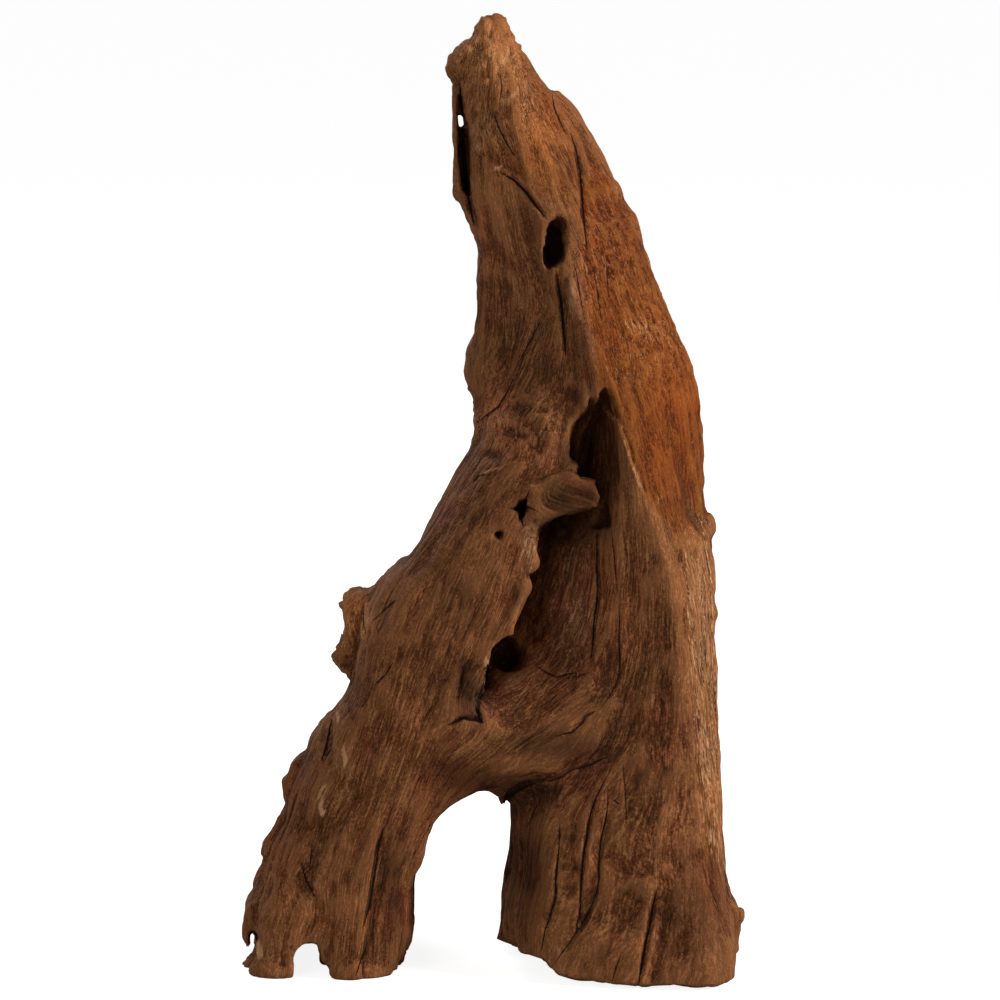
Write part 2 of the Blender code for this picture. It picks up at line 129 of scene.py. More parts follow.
# Lines that the fibres follow, with the place of each across the bundle of fibres
GRAIN_LINES = [
    (0, (478, 14, 440, 120, 430, 200, 432, 280, 430, 340, 405, 400, 360, 470, 300, 560, 262, 650, 240, 760,
     222, 860, 212, 985)),
    (41, (486, 14, 470, 120, 480, 200, 500, 280, 496, 340, 470, 410, 425, 480, 375, 560, 340, 650, 305, 750,
     275, 860, 262, 985)),
    (69, (492, 14, 495, 120, 520, 200, 546, 300, 527, 350, 505, 400, 470, 470, 430, 550, 395, 640, 365, 740,
     335, 850, 320, 985)),
    (119, (498, 14, 515, 120, 545, 220, 570, 300, 572, 380, 555, 440, 530, 520, 505, 600, 470, 680, 430, 760,
     395, 850, 378, 985)),
    (168, (501, 14, 522, 120, 556, 230, 585, 320, 600, 400, 604, 480, 604, 560, 590, 640, 540, 710, 480, 750,
     435, 800, 415, 860, 408, 985)),
    (176, (504, 14, 527, 120, 562, 230, 592, 320, 607, 400, 612, 480, 614, 560, 606, 650, 575, 720, 535, 765,
     512, 800, 503, 860, 490, 985)),
    (203, (507, 14, 548, 120, 597, 230, 622, 320, 645, 420, 660, 520, 662, 640, 650, 760, 640, 860, 612,
     985)),
    (231, (512, 14, 580, 120, 650, 230, 682, 330, 700, 430, 712, 560, 716, 700, 720, 850, 735, 985)),
    (248, (525, 14, 615, 120, 690, 230, 718, 330, 735, 430, 745, 560, 745, 700, 750, 850, 765, 985)),
]

# Furrows of the grain: spacing across, length along, height, and how sharp the furrow's floor is
FURROWS = [
    (30, 120, 0.8, 1), (13, 90, 0.6, 2.5), (6, 50, 0.45, 2.5), (3, 26, 0.34, 1),
]

# Drying splits of each side: width, depth and line
SPLITS = {
    0: [
        (1.8, 3, (500, 172, 514, 180, 526, 192, 536, 206, 548, 220)),
        (2.2, 3, (556, 270, 561, 300, 563, 322, 566, 358)),
        (2, 2.6, (570, 132, 576, 150, 580, 172, 582, 196, 584, 222, 587, 252)),
        (1, 1.6, (552, 92, 554, 108, 560, 122, 566, 134)),
        (1, 1.6, (493, 112, 499, 128, 506, 142, 516, 158)),
        (0.8, 1.2, (500, 72, 502, 88, 500, 100)),
        (0.8, 1.2, (574, 258, 579, 290, 585, 322)),
        (0.8, 1.2, (592, 260, 597, 290, 601, 318)),
        (0.8, 1.2, (606, 262, 609, 300)),
        (0.9, 1.6, (543, 316, 530, 342, 514, 371)),
        (1.2, 2.2, (514, 378, 507, 393, 498, 407, 483, 418, 474, 424)),
        (1.7, 3, (597, 530, 597, 573, 598, 590, 595, 615, 593, 640, 591, 662)),
        (0.8, 1.4, (612, 528, 613, 545, 615, 565, 617, 592)),
        (1, 1.6, (620, 608, 619, 640, 620, 670, 615, 687, 607, 700, 601, 707)),
        (1.5, 2.2, (596, 711, 587, 715, 580, 725, 572, 732, 557, 736)),
        (0.8, 1.2, (548, 538, 547, 562, 543, 578, 541, 592)),
        (1, 1.6, (536, 666, 547, 673, 557, 677, 568, 674, 577, 672)),
        (0.7, 1, (574, 678, 587, 673)),
        (1.3, 2.2, (607, 757, 590, 765, 570, 771, 562, 777, 552, 781, 530, 783)),
        (3.4, 4, (536, 783, 520, 789, 503, 799)),
        (3, 3, (460, 84, 462, 110, 463, 140, 465, 170, 469, 200, 474, 226)),
        (0.6, 1, (541, 798, 533, 814, 527, 828)),
        (1.2, 2.2, (560, 824, 559, 852, 556, 876, 556, 896, 551, 912, 545, 932, 541, 952)),
        (1.7, 3, (605, 780, 596, 798, 590, 816, 587, 834, 584, 852, 582, 872, 581, 892, 580, 914, 574, 934)),
        (1.2, 2, (608, 786, 608, 808, 605, 824, 601, 840, 599, 860, 599, 880, 596, 894, 591, 908, 582, 924,
         570, 942, 555, 963)),
        (0.8, 1.5, (623, 764, 625, 788, 626, 804, 626, 826)),
        (2.2, 4, (657, 890, 653, 906, 650, 924, 646, 942, 643, 958, 638, 988)),
        (1, 1.6, (620, 957, 616, 968, 612, 982)),
        (2, 3.4, (383, 828, 378, 852, 374, 879, 369, 906, 363, 930)),
        (1.3, 2.5, (367, 944, 361, 960, 355, 978)),
        (4.2, 5, (488, 664, 485, 683, 479, 700, 478, 710, 481, 724)),
        (2.8, 3.6, (449, 725, 463, 718, 475, 720, 484, 722)),
        (1.6, 2.4, (464, 666, 461, 684, 458, 700)),
        (1.2, 2, (473, 482, 478, 476, 486, 474)),
        (1.8, 2.6, (530, 490, 526, 498, 523, 508, 521, 518, 524, 528)),
        (1.3, 2, (508, 508, 518, 509, 528, 507, 537, 511)),
        (1.6, 3, (332, 718, 329, 734, 326, 748, 321, 762)),
        (1.4, 2, (301, 862, 306, 880, 316, 898)),
        (1, 1.5, (312, 846, 310, 868)),
        (1, 1.6, (372, 622, 382, 612, 396, 600)),
        (1.2, 2, (364, 606, 363, 622, 366, 634)),
        (1, 1.6, (376, 684, 386, 674, 392, 664)),
    ],
    90: [
        (2.2, 4, (455, 620, 450, 680, 452, 740, 446, 800, 440, 860)),
        (1.6, 3, (520, 300, 524, 360, 520, 420, 527, 480, 530, 560)),
        (1.2, 2, (500, 180, 504, 230, 500, 280)),
        (2.6, 4.5, (560, 985, 556, 930, 560, 880, 552, 830)),
        (1.4, 2.5, (400, 985, 404, 940, 410, 890)),
        (1.4, 2.4, (585, 560, 590, 620, 588, 680, 596, 740)),
        (1, 1.6, (480, 420, 474, 470, 476, 520, 468, 570)),
        (1.2, 2, (620, 985, 615, 930, 612, 880)),
        (1.2, 2, (500, 985, 498, 950, 502, 915)),
        (1, 1.6, (395, 700, 390, 760, 392, 820)),
    ],
    180: [
        (2.4, 4.5, (392, 240, 386, 300, 380, 360, 372, 420, 368, 480)),
        (1.6, 3, (470, 180, 462, 240, 458, 300, 448, 360)),
        (2, 4, (430, 560, 436, 620, 430, 690, 436, 740)),
        (1.4, 2.4, (350, 600, 346, 660, 352, 730, 344, 790)),
        (2.6, 4.5, (330, 985, 336, 920, 330, 860, 338, 810)),
        (1.6, 3, (420, 985, 424, 930, 420, 880)),
        (1.4, 2.5, (600, 700, 620, 760, 640, 820)),
        (2.2, 4, (660, 985, 655, 930, 640, 870, 622, 810)),
        (1.2, 2, (700, 985, 696, 940, 688, 900)),
        (1.2, 2, (520, 520, 530, 570, 545, 620)),
        (1, 1.6, (560, 620, 580, 670, 590, 700)),
    ],
    270: [
        (2.2, 4, (560, 985, 556, 930, 562, 870, 556, 820)),
        (1.6, 3, (450, 985, 455, 930, 450, 870)),
        (1.4, 2.4, (520, 760, 515, 700, 520, 640)),
        (1.2, 2, (480, 600, 484, 540, 480, 480, 484, 430)),
        (1, 1.6, (510, 380, 506, 320, 510, 260)),
    ],
}

# Raised edges: width, height, how far the wood steps down on the edge's left side, how pale its fibres
# are, and line
LIPS = [
    (2.2, 1.3, 2.2, 0.6, (600, 392, 607, 411, 618, 422, 625, 440, 630, 458, 638, 480, 648, 503)),
    (2.4, 0.6, 0, 0.2, (590, 388, 585, 403, 571, 418, 562, 440, 561, 462)),
    (2.4, 1, 0, 0.4, (533, 540, 532, 550, 535, 566, 523, 574)),
    (2.4, 1, 0, 0.3, (527, 589, 519, 602, 514, 615, 509, 633, 502, 637, 492, 643, 482, 654)),
    (1.8, 1, 0.6, 0.6, (473, 479, 490, 470, 505, 466)),
    (2.4, 0.8, 0.6, 0.5, (566, 272, 573, 292, 578, 320)),
    (2.2, 0.8, 0, 0.3, (540, 484, 564, 473, 584, 480)),
    (2.6, 0.7, 0, 0.2, (430, 826, 444, 800, 470, 772, 500, 758)),
    (2.4, 0.9, 1.2, 0.2, (556, 92, 560, 106, 568, 120, 578, 136, 586, 160, 590, 190)),
    (2, 0.8, 0.8, 0.3, (470, 146, 482, 156, 496, 167, 512, 172, 528, 186, 538, 200, 548, 214)),
    (2.4, 0.5, 0, 0.2, (664, 520, 676, 580, 684, 640, 690, 700, 694, 780, 698, 850)),
    (1.6, 1, 0.9, 0.3, (566, 392, 554, 408, 541, 430, 528, 455)),
    (1.6, 1, 0.9, 0.3, (547, 392, 536, 406, 522, 422, 508, 446)),
    (1.6, 0.9, 0.6, 0.2, (531, 396, 518, 410, 504, 428, 492, 448)),
    (1.8, 0.9, 0, 0.3, (578, 412, 568, 425, 562, 442, 566, 462)),
    (1.8, 1, 0.5, 0.4, (366, 592, 368, 606, 366, 622, 361, 640)),
    (1.8, 0.9, 0.6, 0.3, (448, 612, 436, 630, 428, 650)),
    (1.8, 0.9, 0.6, 0.3, (430, 576, 416, 596, 404, 620)),
    (2, 0.9, 0.6, 0.2, (282, 840, 276, 880, 272, 930)),
    (2, 0.5, 0.4, 0.1, (340, 690, 352, 720, 346, 760)),
]

# Knots that the fibres turn about: centre, radius, turn in degrees and how sharply it ends
KNOTS = [
    (566, 497, 36, 84, 8), (516, 425, 26, 45, 2), (478, 690, 28, 50, 2), (553, 243, 20, 35, 2),
    (310, 872, 22, 40, 2), (352, 632, 22, 45, 2), (327, 745, 16, 30, 2), (588, 655, 26, 40, 2),
]

# Stains, worn patches and painted light and shade of each side, by what they are: centre, half sizes, turn in
# degrees and strength. The shade patches are painted light and shade, with some of the wood's own tone: their
# strength is how many times the wood's colour is doubled. A grey's strength is how far the wood loses its
# red, and a sunk patch's is its depth, which is negative where the wood stands out.
PATCHES = {
    0: {
        # Painted light and shade, with some of the wood's own tone: shade under the stub and the saddle,
        # light on recess walls
        "tone_and_painted_shading": [
            (495, 225, 26, 60, 0, 0.6), (493, 420, 26, 34, 0, 0.8), (525, 465, 26, 26, 0, 0.3),
            (572, 498, 30, 22, 0, -1.8), (588, 430, 14, 46, 6, 0.4), (492, 48, 40, 44, 0, 0.88),
            (520, 140, 50, 60, -20, 0.5), (655, 335, 34, 40, -20, 0.38), (668, 440, 28, 50, -10, -0.25),
            (455, 590, 30, 40, 30, -0.25), (614, 460, 14, 56, -10, -0.6), (570, 530, 40, 14, 0, -1.3),
            (530, 784, 30, 12, -14, -1.2), (572, 600, 26, 60, 0, 0.9), (624, 610, 26, 70, 0, 0.5),
            (612, 716, 30, 40, 0, -0.5), (700, 900, 34, 70, 0, -0.75), (655, 750, 16, 50, 0, -0.12),
            (526, 870, 24, 60, 0, -0.7), (560, 746, 60, 18, -8, -1), (470, 780, 60, 20, -16, -1.3),
            (400, 610, 26, 40, 30, 0.2), (410, 712, 44, 40, 0, 0.45), (295, 905, 40, 50, 0, 0.45),
            (392, 890, 26, 74, 0, -0.6), (355, 615, 20, 34, 0, 1.2), (345, 660, 14, 20, 0, 0.6),
            (408, 915, 6, 46, 4, 1.5), (308, 868, 14, 30, 0, -0.2), (471, 690, 14, 32, 12, -1.5),
            (440, 700, 18, 28, 0, -0.5), (508, 692, 24, 26, 0, 0.35), (588, 250, 12, 50, 0, 0.2),
            (592, 493, 8, 12, 0, -1), (580, 412, 9, 22, 10, -0.5), (567, 455, 9, 20, 0, -1.4),
            (487, 30, 16, 20, 0, 0.35),
        ],
        "grey": [
            (508, 692, 26, 30, 0, 0.8), (572, 600, 28, 70, 0, 1), (668, 430, 34, 70, -10, -1.1),
            (530, 145, 24, 40, 0, -0.4), (585, 495, 22, 20, 0, -0.8), (470, 780, 50, 16, -16, -0.8),
            (492, 44, 40, 40, 0, -0.35),
        ],
        "red": [
            (600, 240, 30, 120, -22, 0.5), (545, 560, 30, 24, 0, 0.6), (395, 905, 14, 46, 0, 0.6),
            (512, 425, 24, 34, 30, 0.9), (490, 700, 24, 34, 0, 0.9), (480, 690, 20, 34, 0, 0.9),
            (590, 478, 20, 20, 0, 0.4), (300, 970, 50, 14, 0, 0.4), (530, 850, 20, 60, 0, 0.4),
            (440, 780, 30, 30, 0, 0.4), (570, 600, 30, 70, 0, 0.2), (700, 880, 30, 50, 0, 0.4),
        ],
        # Partly dark stains and pits, partly painted shade: on and under the saddle, under the stub and in
        # the hollow
        "dark": [
            (560, 745, 60, 12, -8, 0.55), (394, 890, 14, 46, 8, 0.75), (372, 700, 20, 60, 30, 0.35),
            (452, 590, 24, 40, 30, 0.4), (520, 598, 14, 18, 0, 0.5), (590, 440, 14, 52, 8, 0.8),
            (608, 500, 6, 40, 0, 0.6), (560, 498, 20, 9, 0, 0.45), (560, 530, 40, 22, 0, 0.6),
            (510, 655, 20, 20, 0, 1), (560, 620, 50, 90, 0, 0.3), (521, 408, 12, 8, 0, 0.9),
            (511, 432, 13, 7, -20, 0.75), (493, 454, 9, 7, 0, 0.75), (536, 446, 7, 7, 0, 0.9),
            (571, 394, 8, 8, 30, 0.5), (470, 690, 15, 32, 12, 1.05), (327, 745, 7, 20, 10, 0.7),
            (308, 872, 14, 32, -8, 0.5), (345, 652, 14, 26, 0, 0.6), (528, 870, 26, 80, 0, 0.45),
            (480, 778, 50, 12, -20, 0.6), (555, 795, 22, 12, 0, 0.5),
        ],
        "pale": [
            (646, 331, 30, 14, -14, 0.38), (344.5, 757, 2.4, 13, 8, 1.4), (338, 717, 1.8, 8, 10, 1.3),
            (322, 790, 2.2, 8, -52, 1.5), (322, 809, 2.2, 8, 28, 1.4), (259, 950, 4, 12, 10, 1.2),
            (478, 146, 8, 8, 30, 0.5), (473, 128, 5, 10, 0, 0.5), (470, 50, 6, 8, 30, 0.6),
            (505, 60, 4, 18, -20, 0.6), (498, 168, 8, 3, 20, 0.8), (572, 298, 5, 24, 0, 0.7),
            (486, 662, 3, 7, 10, 1.4), (512, 96, 12, 4, 36, 0.7), (495, 135, 10, 14, 0, 0.4),
            (530, 170, 4, 14, 0, 0.4), (490, 54, 3, 4, 0, 0.9), (529, 545, 10, 26, 0, 0.6),
        ],
        "pitted": [
            (650, 340, 50, 70, 0, 0.8), (524, 425, 38, 40, 30, 1.3), (478, 690, 26, 38, 20, 1),
            (522, 506, 18, 20, 0, 0.8), (327, 745, 14, 26, 10, 0.8), (308, 872, 18, 34, -8, 0.8),
            (350, 640, 20, 50, 0, 0.8), (490, 50, 40, 50, 0, 1.7), (510, 120, 46, 50, 0, 0.9),
            (605, 250, 44, 90, -20, 1.1), (530, 560, 16, 30, 0, 0.8), (290, 960, 50, 22, 0, 0.6),
        ],
        "sunk": [
            (268, 978, 26, 18, 0, -7), (362, 978, 30, 18, 0, -6), (478, 690, 22, 34, 20, 1.8),
            (521, 408, 11, 8, 0, 2.4), (511, 432, 12, 7, -20, 2.2), (493, 454, 9, 7, 0, 2),
            (571, 394, 8, 9, 30, 2), (535, 445, 8, 8, 0, 0.8), (326, 745, 7, 17, 10, 2),
            (308, 872, 10, 26, -8, 1.2),
        ],
    },
    90: {
        "dark": [(545, 640, 12, 20, 10, 0.9), (500, 820, 16, 110, 0, 0.5), (600, 700, 16, 90, 0, 0.5)],
        "pale": [(420, 600, 12, 40, 0, 0.5)],
        "pitted": [(545, 640, 26, 40, 10, 1), (590, 930, 40, 50, 0, 0.8)],
        "sunk": [
            (495, 640, 90, 190, 0, 1.3), (495, 216, 60, 9, 0, 1.2), (495, 196, 60, 8, 0, -1.2),
            (495, 245, 60, 10, 0, -0.6), (495, 560, 90, 60, 0, -0.9), (545, 640, 12, 20, 10, 4),
            (500, 820, 20, 120, 0, 3.5), (430, 520, 14, 90, 5, 2.5), (440, 760, 10, 110, 0, 2),
            (570, 800, 12, 110, 0, 2.5), (500, 400, 12, 80, 0, 2),
        ],
    },
    180: {
        "dark": [(455, 450, 11, 18, 10, 1.2), (395, 700, 14, 110, 0, 0.5), (630, 860, 14, 70, -12, 0.5)],
        "pale": [(420, 330, 8, 60, 10, 0.5), (360, 740, 8, 50, 0, 0.4)],
        "pitted": [
            (455, 450, 30, 46, 10, 1), (640, 940, 50, 40, 0, 0.9), (360, 940, 60, 40, 0, 0.7),
            (480, 770, 50, 30, 0, 0.9),
        ],
        "sunk": [
            (455, 450, 12, 20, 10, 6), (560, 560, 20, 70, -30, 3.5), (395, 700, 16, 120, 0, 3.5),
            (330, 640, 12, 110, 0, 2.5), (500, 640, 14, 80, -15, 3), (365, 820, 12, 130, 0, -2),
            (470, 560, 12, 90, -8, -2), (630, 860, 14, 70, -12, 3), (480, 780, 40, 20, 0, 2),
        ],
    },
    270: {
        "dark": [(500, 860, 16, 80, 0, 0.5)],
        "pale": [(470, 720, 8, 50, 0, 0.4)],
        "pitted": [(560, 930, 40, 50, 0, 0.8)],
        "sunk": [
            (500, 250, 60, 14, 0, 1.4), (500, 800, 80, 50, 0, -1.2), (500, 535, 60, 50, 0, 1.2),
            (500, 860, 18, 90, 0, 3.5), (440, 760, 12, 70, 0, 2.5), (545, 740, 12, 80, 0, -2),
            (520, 470, 12, 90, 0, 2.5),
        ],
    },
}

# Faces of the front whose colour differs: how far the edge is softened, strength and outline
ZONES = {
    # Painted shade: this zone darkens the left face of the upper trunk, which turns away from the key light
    "dark": [
        (4, 0.16, (470, 172, 500, 170, 518, 182, 536, 204, 546, 250, 550, 300, 560, 362, 550, 388, 520, 400,
         480, 388, 460, 340, 470, 300)),
    ],
    "orange": [
        (4, 1.1, (578, 205, 600, 160, 640, 220, 700, 340, 712, 440, 708, 500, 692, 506, 680, 523, 664, 515,
         648, 503, 638, 480, 630, 458, 625, 440, 616, 420, 604, 404, 599, 380, 592, 330, 586, 280, 584, 250)),
        (14, 0.4, (480, 10, 512, 10, 560, 90, 640, 200, 600, 240, 566, 210, 540, 196, 512, 168, 490, 140, 462,
         90, 440, 70)),
        (14, 0.35, (664, 520, 700, 500, 730, 620, 740, 900, 700, 900, 690, 740, 680, 620)),
    ],
    "pale": [
        (9, 0.48, (678, 540, 700, 526, 730, 540, 735, 860, 702, 850, 692, 760, 684, 640)),
        (12, 0.36, (470, 10, 512, 10, 545, 90, 535, 165, 505, 160, 474, 140, 452, 84, 440, 66)),
    ],
}

# What is added to the solid and cut out of it: nearest and farthest depth, how wide it is at its front,
# middle and back, and outline
ADDED = [
    ("broken_tip", -5, 19, (0.75, 1, 0.75), (476, 24, 480, 14, 491, 12, 503, 15, 510, 15, 510, 26, 514, 35,
     520, 46, 527, 58, 535, 72, 545, 86, 520, 100, 490, 100, 466, 96, 453, 86, 447, 76, 444, 67, 447, 55, 462,
     43, 470, 38)),
    ("trunk_side", 3, 24, (0.9, 1, 0.6), (456, 73, 474, 74, 480, 100, 480, 150, 468, 152, 464, 135, 462, 120,
     459, 100, 456.5, 84)),
    ("trunk_front", -9, 10, (0.9, 1, 0.9), (459.5, 80, 474, 78, 482, 100, 482, 150, 472, 152, 468, 140, 465.5,
     120, 463, 100)),
    ("flake", -2, 11, (0.9, 1, 0.9), (452, 78, 458, 82, 457, 100, 457, 118, 456, 132, 457, 142, 461, 160, 463,
     180, 466, 200, 471, 220, 478, 246, 472, 240, 464, 216, 459, 206, 453, 200, 453, 185, 452.5, 165, 453,
     148, 452.5, 135, 454, 126, 454, 110, 453, 95)),
    ("branch_stub", -6, 18, (0.6, 1, 0.5), (394, 566, 384, 573, 375, 582, 368, 593, 361, 600, 350, 601, 345,
     602, 338, 602, 343.5, 608, 347, 614, 348, 625, 349, 636, 351, 645, 347, 640, 341, 630, 340, 642, 335,
     648, 340, 653, 330, 655, 333.5, 662, 337, 669, 345, 671.5, 354, 673, 364, 664, 376, 640, 390, 610)),
    ("left_edge", -4, 14, (0.9, 1, 0.9), (476, 328, 469, 340, 466, 355, 465, 372, 466.5, 386, 472, 396, 475,
     408, 486, 404, 482, 360)),
    ("left_shoulder", -20, 4, (0.9, 1, 0.9), (280, 808, 269, 828, 263, 842, 260, 856, 268, 862, 286, 840)),
    ("left_boss", -18, 6, (0.55, 1, 0.5), (304, 750, 294, 756, 290, 766, 288, 773, 283, 776, 278, 781, 279,
     788, 280, 795, 285, 801, 298, 808, 308, 790, 312, 770)),
    ("foot_tail", -32, -8, (0.9, 1, 0.9), (249, 900, 245, 916, 241, 932, 243, 940, 250, 948, 252, 942, 252,
     932, 258, 925, 258, 900)),
    ("foot_spur", -34, -14, (0.9, 1, 0.9), (257, 952, 249, 958, 244, 966, 249, 973, 258, 975, 264, 960)),
    ("foot_inner", -44, -22, (0.9, 1, 0.9), (316, 938, 327, 934, 334, 948, 332, 960, 325, 965, 320, 961, 317,
     951)),
    ("side_spur", -36, -20, (0.7, 1, 0.7), (728, 896, 733, 903, 738, 909, 743, 906, 745, 913, 741, 921, 737,
     932, 726, 930)),
    ("edge_chip", -16, -4, (0.8, 1, 0.8), (703, 514, 710, 514, 713, 521, 715, 531, 708, 533, 703, 524)),
    ("heel", -4, 24, (0.85, 1, 0.85), (511, 850, 507, 868, 502, 890, 499, 910, 496, 930, 493.5, 940, 503, 944,
     520, 949, 526, 930, 526, 850)),
    ("heel_front", -22, 4, (0.9, 1, 0.9), (512, 930, 508, 945, 522, 950, 544, 956, 549, 950, 549, 925)),
    ("edge_chip_low", -24, -6, (0.8, 1, 0.8), (712, 604, 718, 607, 720, 616, 716, 623, 708, 614)),
    ("stub", -66, -44, (0.85, 1, 0.9), (520, 486, 545, 477, 564, 470, 574, 474, 583, 478, 589, 480, 594, 486,
     598, 493, 600, 502, 598, 508, 590, 509, 578, 512, 568, 516, 557, 519, 544, 522, 524, 520)),
    ("arch_splinter", -30, -14, (0.9, 1, 0.9), (500, 794, 512, 794, 505, 807)),
]
CUT = [
    ("stub_end", -76, -40, (1, 1, 1), (594, 484, 600, 476, 608, 478, 608, 524, 590, 524, 592, 512, 597, 507,
     598, 497, 596, 490)),
    ("stub_under", -80, -38, (1, 1, 1), (538, 526, 542, 521.5, 549, 519, 557, 516.5, 566, 514, 576, 510.5,
     588, 509, 599, 507, 606, 500, 612, 528, 560, 532)),
    ("rim_under_stub", -100, -36, (1, 1, 1), (542, 522, 537, 528, 534.5, 540, 533.5, 550, 536.5, 566, 525,
     574, 529, 589, 521, 602, 516, 615, 511, 632, 524, 640, 556, 600, 562, 560, 562, 526)),
    ("slit_side", -90, -32, (1, 0.85, 0.6), (598, 386, 590, 389, 584, 403, 576, 411, 569, 421, 565, 436, 564,
     452, 563, 464, 570, 472, 590, 480, 600, 466, 602, 430, 601, 405)),
    ("tip_left", -60, 80, (1, 1, 1), (440, 4, 489, 4, 488, 13, 481, 15, 480, 20, 474, 24, 475, 31, 468, 33,
     467, 40, 463, 41, 463.5, 47, 456, 47, 455, 54, 449, 55, 449, 62, 446, 66, 440, 60)),
    ("tip_right", -60, 80, (1, 1, 1), (499, 4, 499, 13.5, 503, 16, 508, 16, 509.5, 22, 511, 31, 516, 36, 519,
     43, 530, 36, 520, 4)),
    ("tip_side", -60, 80, (1, 1, 1), (521, 46, 528, 58.5, 534, 68, 541, 78.5, 547, 87, 550.5, 92, 556, 90,
     560, 80, 535, 44)),
    ("right_dent", -30, 4, (1, 1, 1), (712, 533, 709, 539, 711, 548, 714, 560, 726, 560, 726, 533)),
    ("below_branch", -60, 60, (1, 1, 1), (354, 678, 352, 684, 348, 691, 340, 700, 333, 710, 325, 720, 317,
     728, 300, 728, 310, 690, 340, 678)),
    ("foot_gap", -100, 60, (1, 1, 1), (251, 932, 255, 931, 258, 937, 256, 947, 254, 955, 249, 958, 244, 963,
     234, 962, 234, 950, 246, 949, 250, 946, 250, 940)),
    ("knot_hole", -90, -14, (1, 1, 0.6), (546, 218, 553, 214.5, 559, 219, 564, 225, 566, 238, 566, 250, 564,
     258, 560, 264, 557, 261, 555, 267, 548, 274, 543, 266, 541, 254, 542, 241, 544, 228)),
    ("deep_hole", -100, -12, (1, 1, 0.7), (491, 645, 500, 638, 509, 634, 516, 640, 519, 650, 525, 662, 523,
     673, 508, 674, 497, 669, 491, 667, 489, 655)),
    ("star_hole", -90, -46, (1, 1, 0.4), (521, 495, 527, 499, 526, 505, 533, 509, 527, 514, 523, 524, 518,
     515, 512, 509, 517, 504)),
    ("small_hole", -90, -46, (1, 1, 0.4), (493, 533, 497, 530, 503, 530, 504, 536, 499, 541, 494, 538)),
    ("flake_slit", -40, 40, (1, 1, 1), (455, 102, 458, 107, 460.5, 117, 461.5, 126, 458.3, 127, 456.3, 117)),
    ("foot_front_edge", -110, 36, (1, 1, 1), (515, 950, 544, 957.5, 548, 962, 551, 968, 560, 975, 580, 979,
     610, 982, 638, 985, 680, 987, 712, 985.5, 744, 976, 744, 1012, 515, 1012)),
    ("flake_gap", -30, 9, (1, 1, 1), (458, 132, 464, 136, 467, 150, 468, 165, 470, 185, 472, 205, 470, 206,
     466, 190, 463, 172, 460, 150)),
    ("foot_arch", -90, 60, (1, 1, 1), (294, 1010, 294, 966, 294, 954, 300, 946, 312, 943, 318, 945, 319, 952,
     321, 962, 326, 965, 331, 964, 330, 972, 336, 978, 338, 1010)),
]


class WoodShape(bpy.types.PropertyGroup):
    voxel: FloatProperty(
        name="Voxel", description="Cell size of the even mesh", default=0.00105, min=0.0008, unit="LENGTH"
    )
    smoothing: IntProperty(name="Smoothing", description="Passes that take the facets off", default=14, min=0)
    triangles: IntProperty(
        name="Triangles", description="Triangles of the finished wood", default=196000, min=1000
    )
    relief: FloatProperty(
        name="Relief", description="Share of the furrows' height", default=1.0, min=0.0, subtype="FACTOR"
    )


class WoodColours(bpy.types.PropertyGroup):
    # The dark colour is also laid on as painted shade in the hollows and the dark patches
    dark: FloatVectorProperty(
        name="Dark", description="Old wood in the furrows", default=(0.040, 0.0135, 0.0055), subtype="COLOR"
    )
    brown: FloatVectorProperty(
        name="Brown", description="Most of the wood", default=(0.135, 0.045, 0.0145), subtype="COLOR"
    )
    light: FloatVectorProperty(
        name="Light", description="Fibres on the crests", default=(0.36, 0.150, 0.057), subtype="COLOR"
    )
    orange: FloatVectorProperty(
        name="Orange", description="Freshly split plate", default=(0.165, 0.0440, 0.0080), subtype="COLOR"
    )
    fresh: FloatVectorProperty(
        name="Fresh", description="Crests of the split plate", default=(0.33, 0.112, 0.022), subtype="COLOR"
    )
    pale: FloatVectorProperty(
        name="Pale", description="Bleached fibres", default=(0.52, 0.30, 0.150), subtype="COLOR"
    )


class Studio(bpy.types.PropertyGroup):
    key_power: FloatProperty(name="Key", description="Power of the main light", default=76.0, unit="POWER")
    fill_power: FloatProperty(name="Fill", description="Power of the fill light", default=14.0, unit="POWER")
    floor_radius: FloatProperty(name="Floor", description="Radius of the floor", default=30.0, unit="LENGTH")


def pairs(flat):
    """A row of numbers as places across and down."""
    return np.reshape(flat, (-1, 2)).astype(float)


def closed(flat):
    """The same for an outline, with its first place again at its end."""
    corners = pairs(flat)
    return np.vstack([corners, corners[:1]])


def bell(gap, half):
    """A strength that is 1 at a line and fades away from it."""
    return np.exp(-((gap / half) ** 2))


def fading(place, sharpness):
    """A strength that falls to 0 at the two ends of a line."""
    return np.minimum(1, sharpness * place * (1 - place))


def lens_width(place):
    """The width of a split along its line, from 0 to 1: pointed at both ends."""
    return np.sqrt(np.maximum(4 * place * (1 - place), 0))


def surface_of(data):
    """A mesh's points, in millimetres, and its normals."""
    points = np.empty(len(data.vertices) * 3)
    normals = np.empty(len(data.vertices) * 3)
    data.vertices.foreach_get("co", points)
    data.vertex_normals.foreach_get("vector", normals)
    return points.reshape(-1, 3) / MM, normals.reshape(-1, 3)


def move_points(data, points):
    """Moves a mesh's points to places in millimetres."""
    data.vertices.foreach_set("co", (points * MM).ravel())
    data.update()


def camera_axes():
    """The camera's forward, right and up directions."""
    forward = Vector((0.0, math.cos(CAMERA_ELEVATION), -math.sin(CAMERA_ELEVATION)))
    up = Vector((0.0, math.sin(CAMERA_ELEVATION), math.cos(CAMERA_ELEVATION)))
    return forward, Vector((1.0, 0.0, 0.0)), up


def photo_place(points):
    """The pixels of the photograph where points, in millimetres, are seen."""
    forward, right, up = (np.array(axis) for axis in camera_axes())
    eye = np.array(CAMERA_AIM) - forward * CAMERA_DISTANCE
    seen = points * MM - eye
    zoom = PIXELS_PER_METRE * CAMERA_DISTANCE / (seen @ forward)
    return np.stack([PHOTO_SIDE / 2 + seen @ right * zoom, PHOTO_SIDE / 2 - seen @ up * zoom], 1)


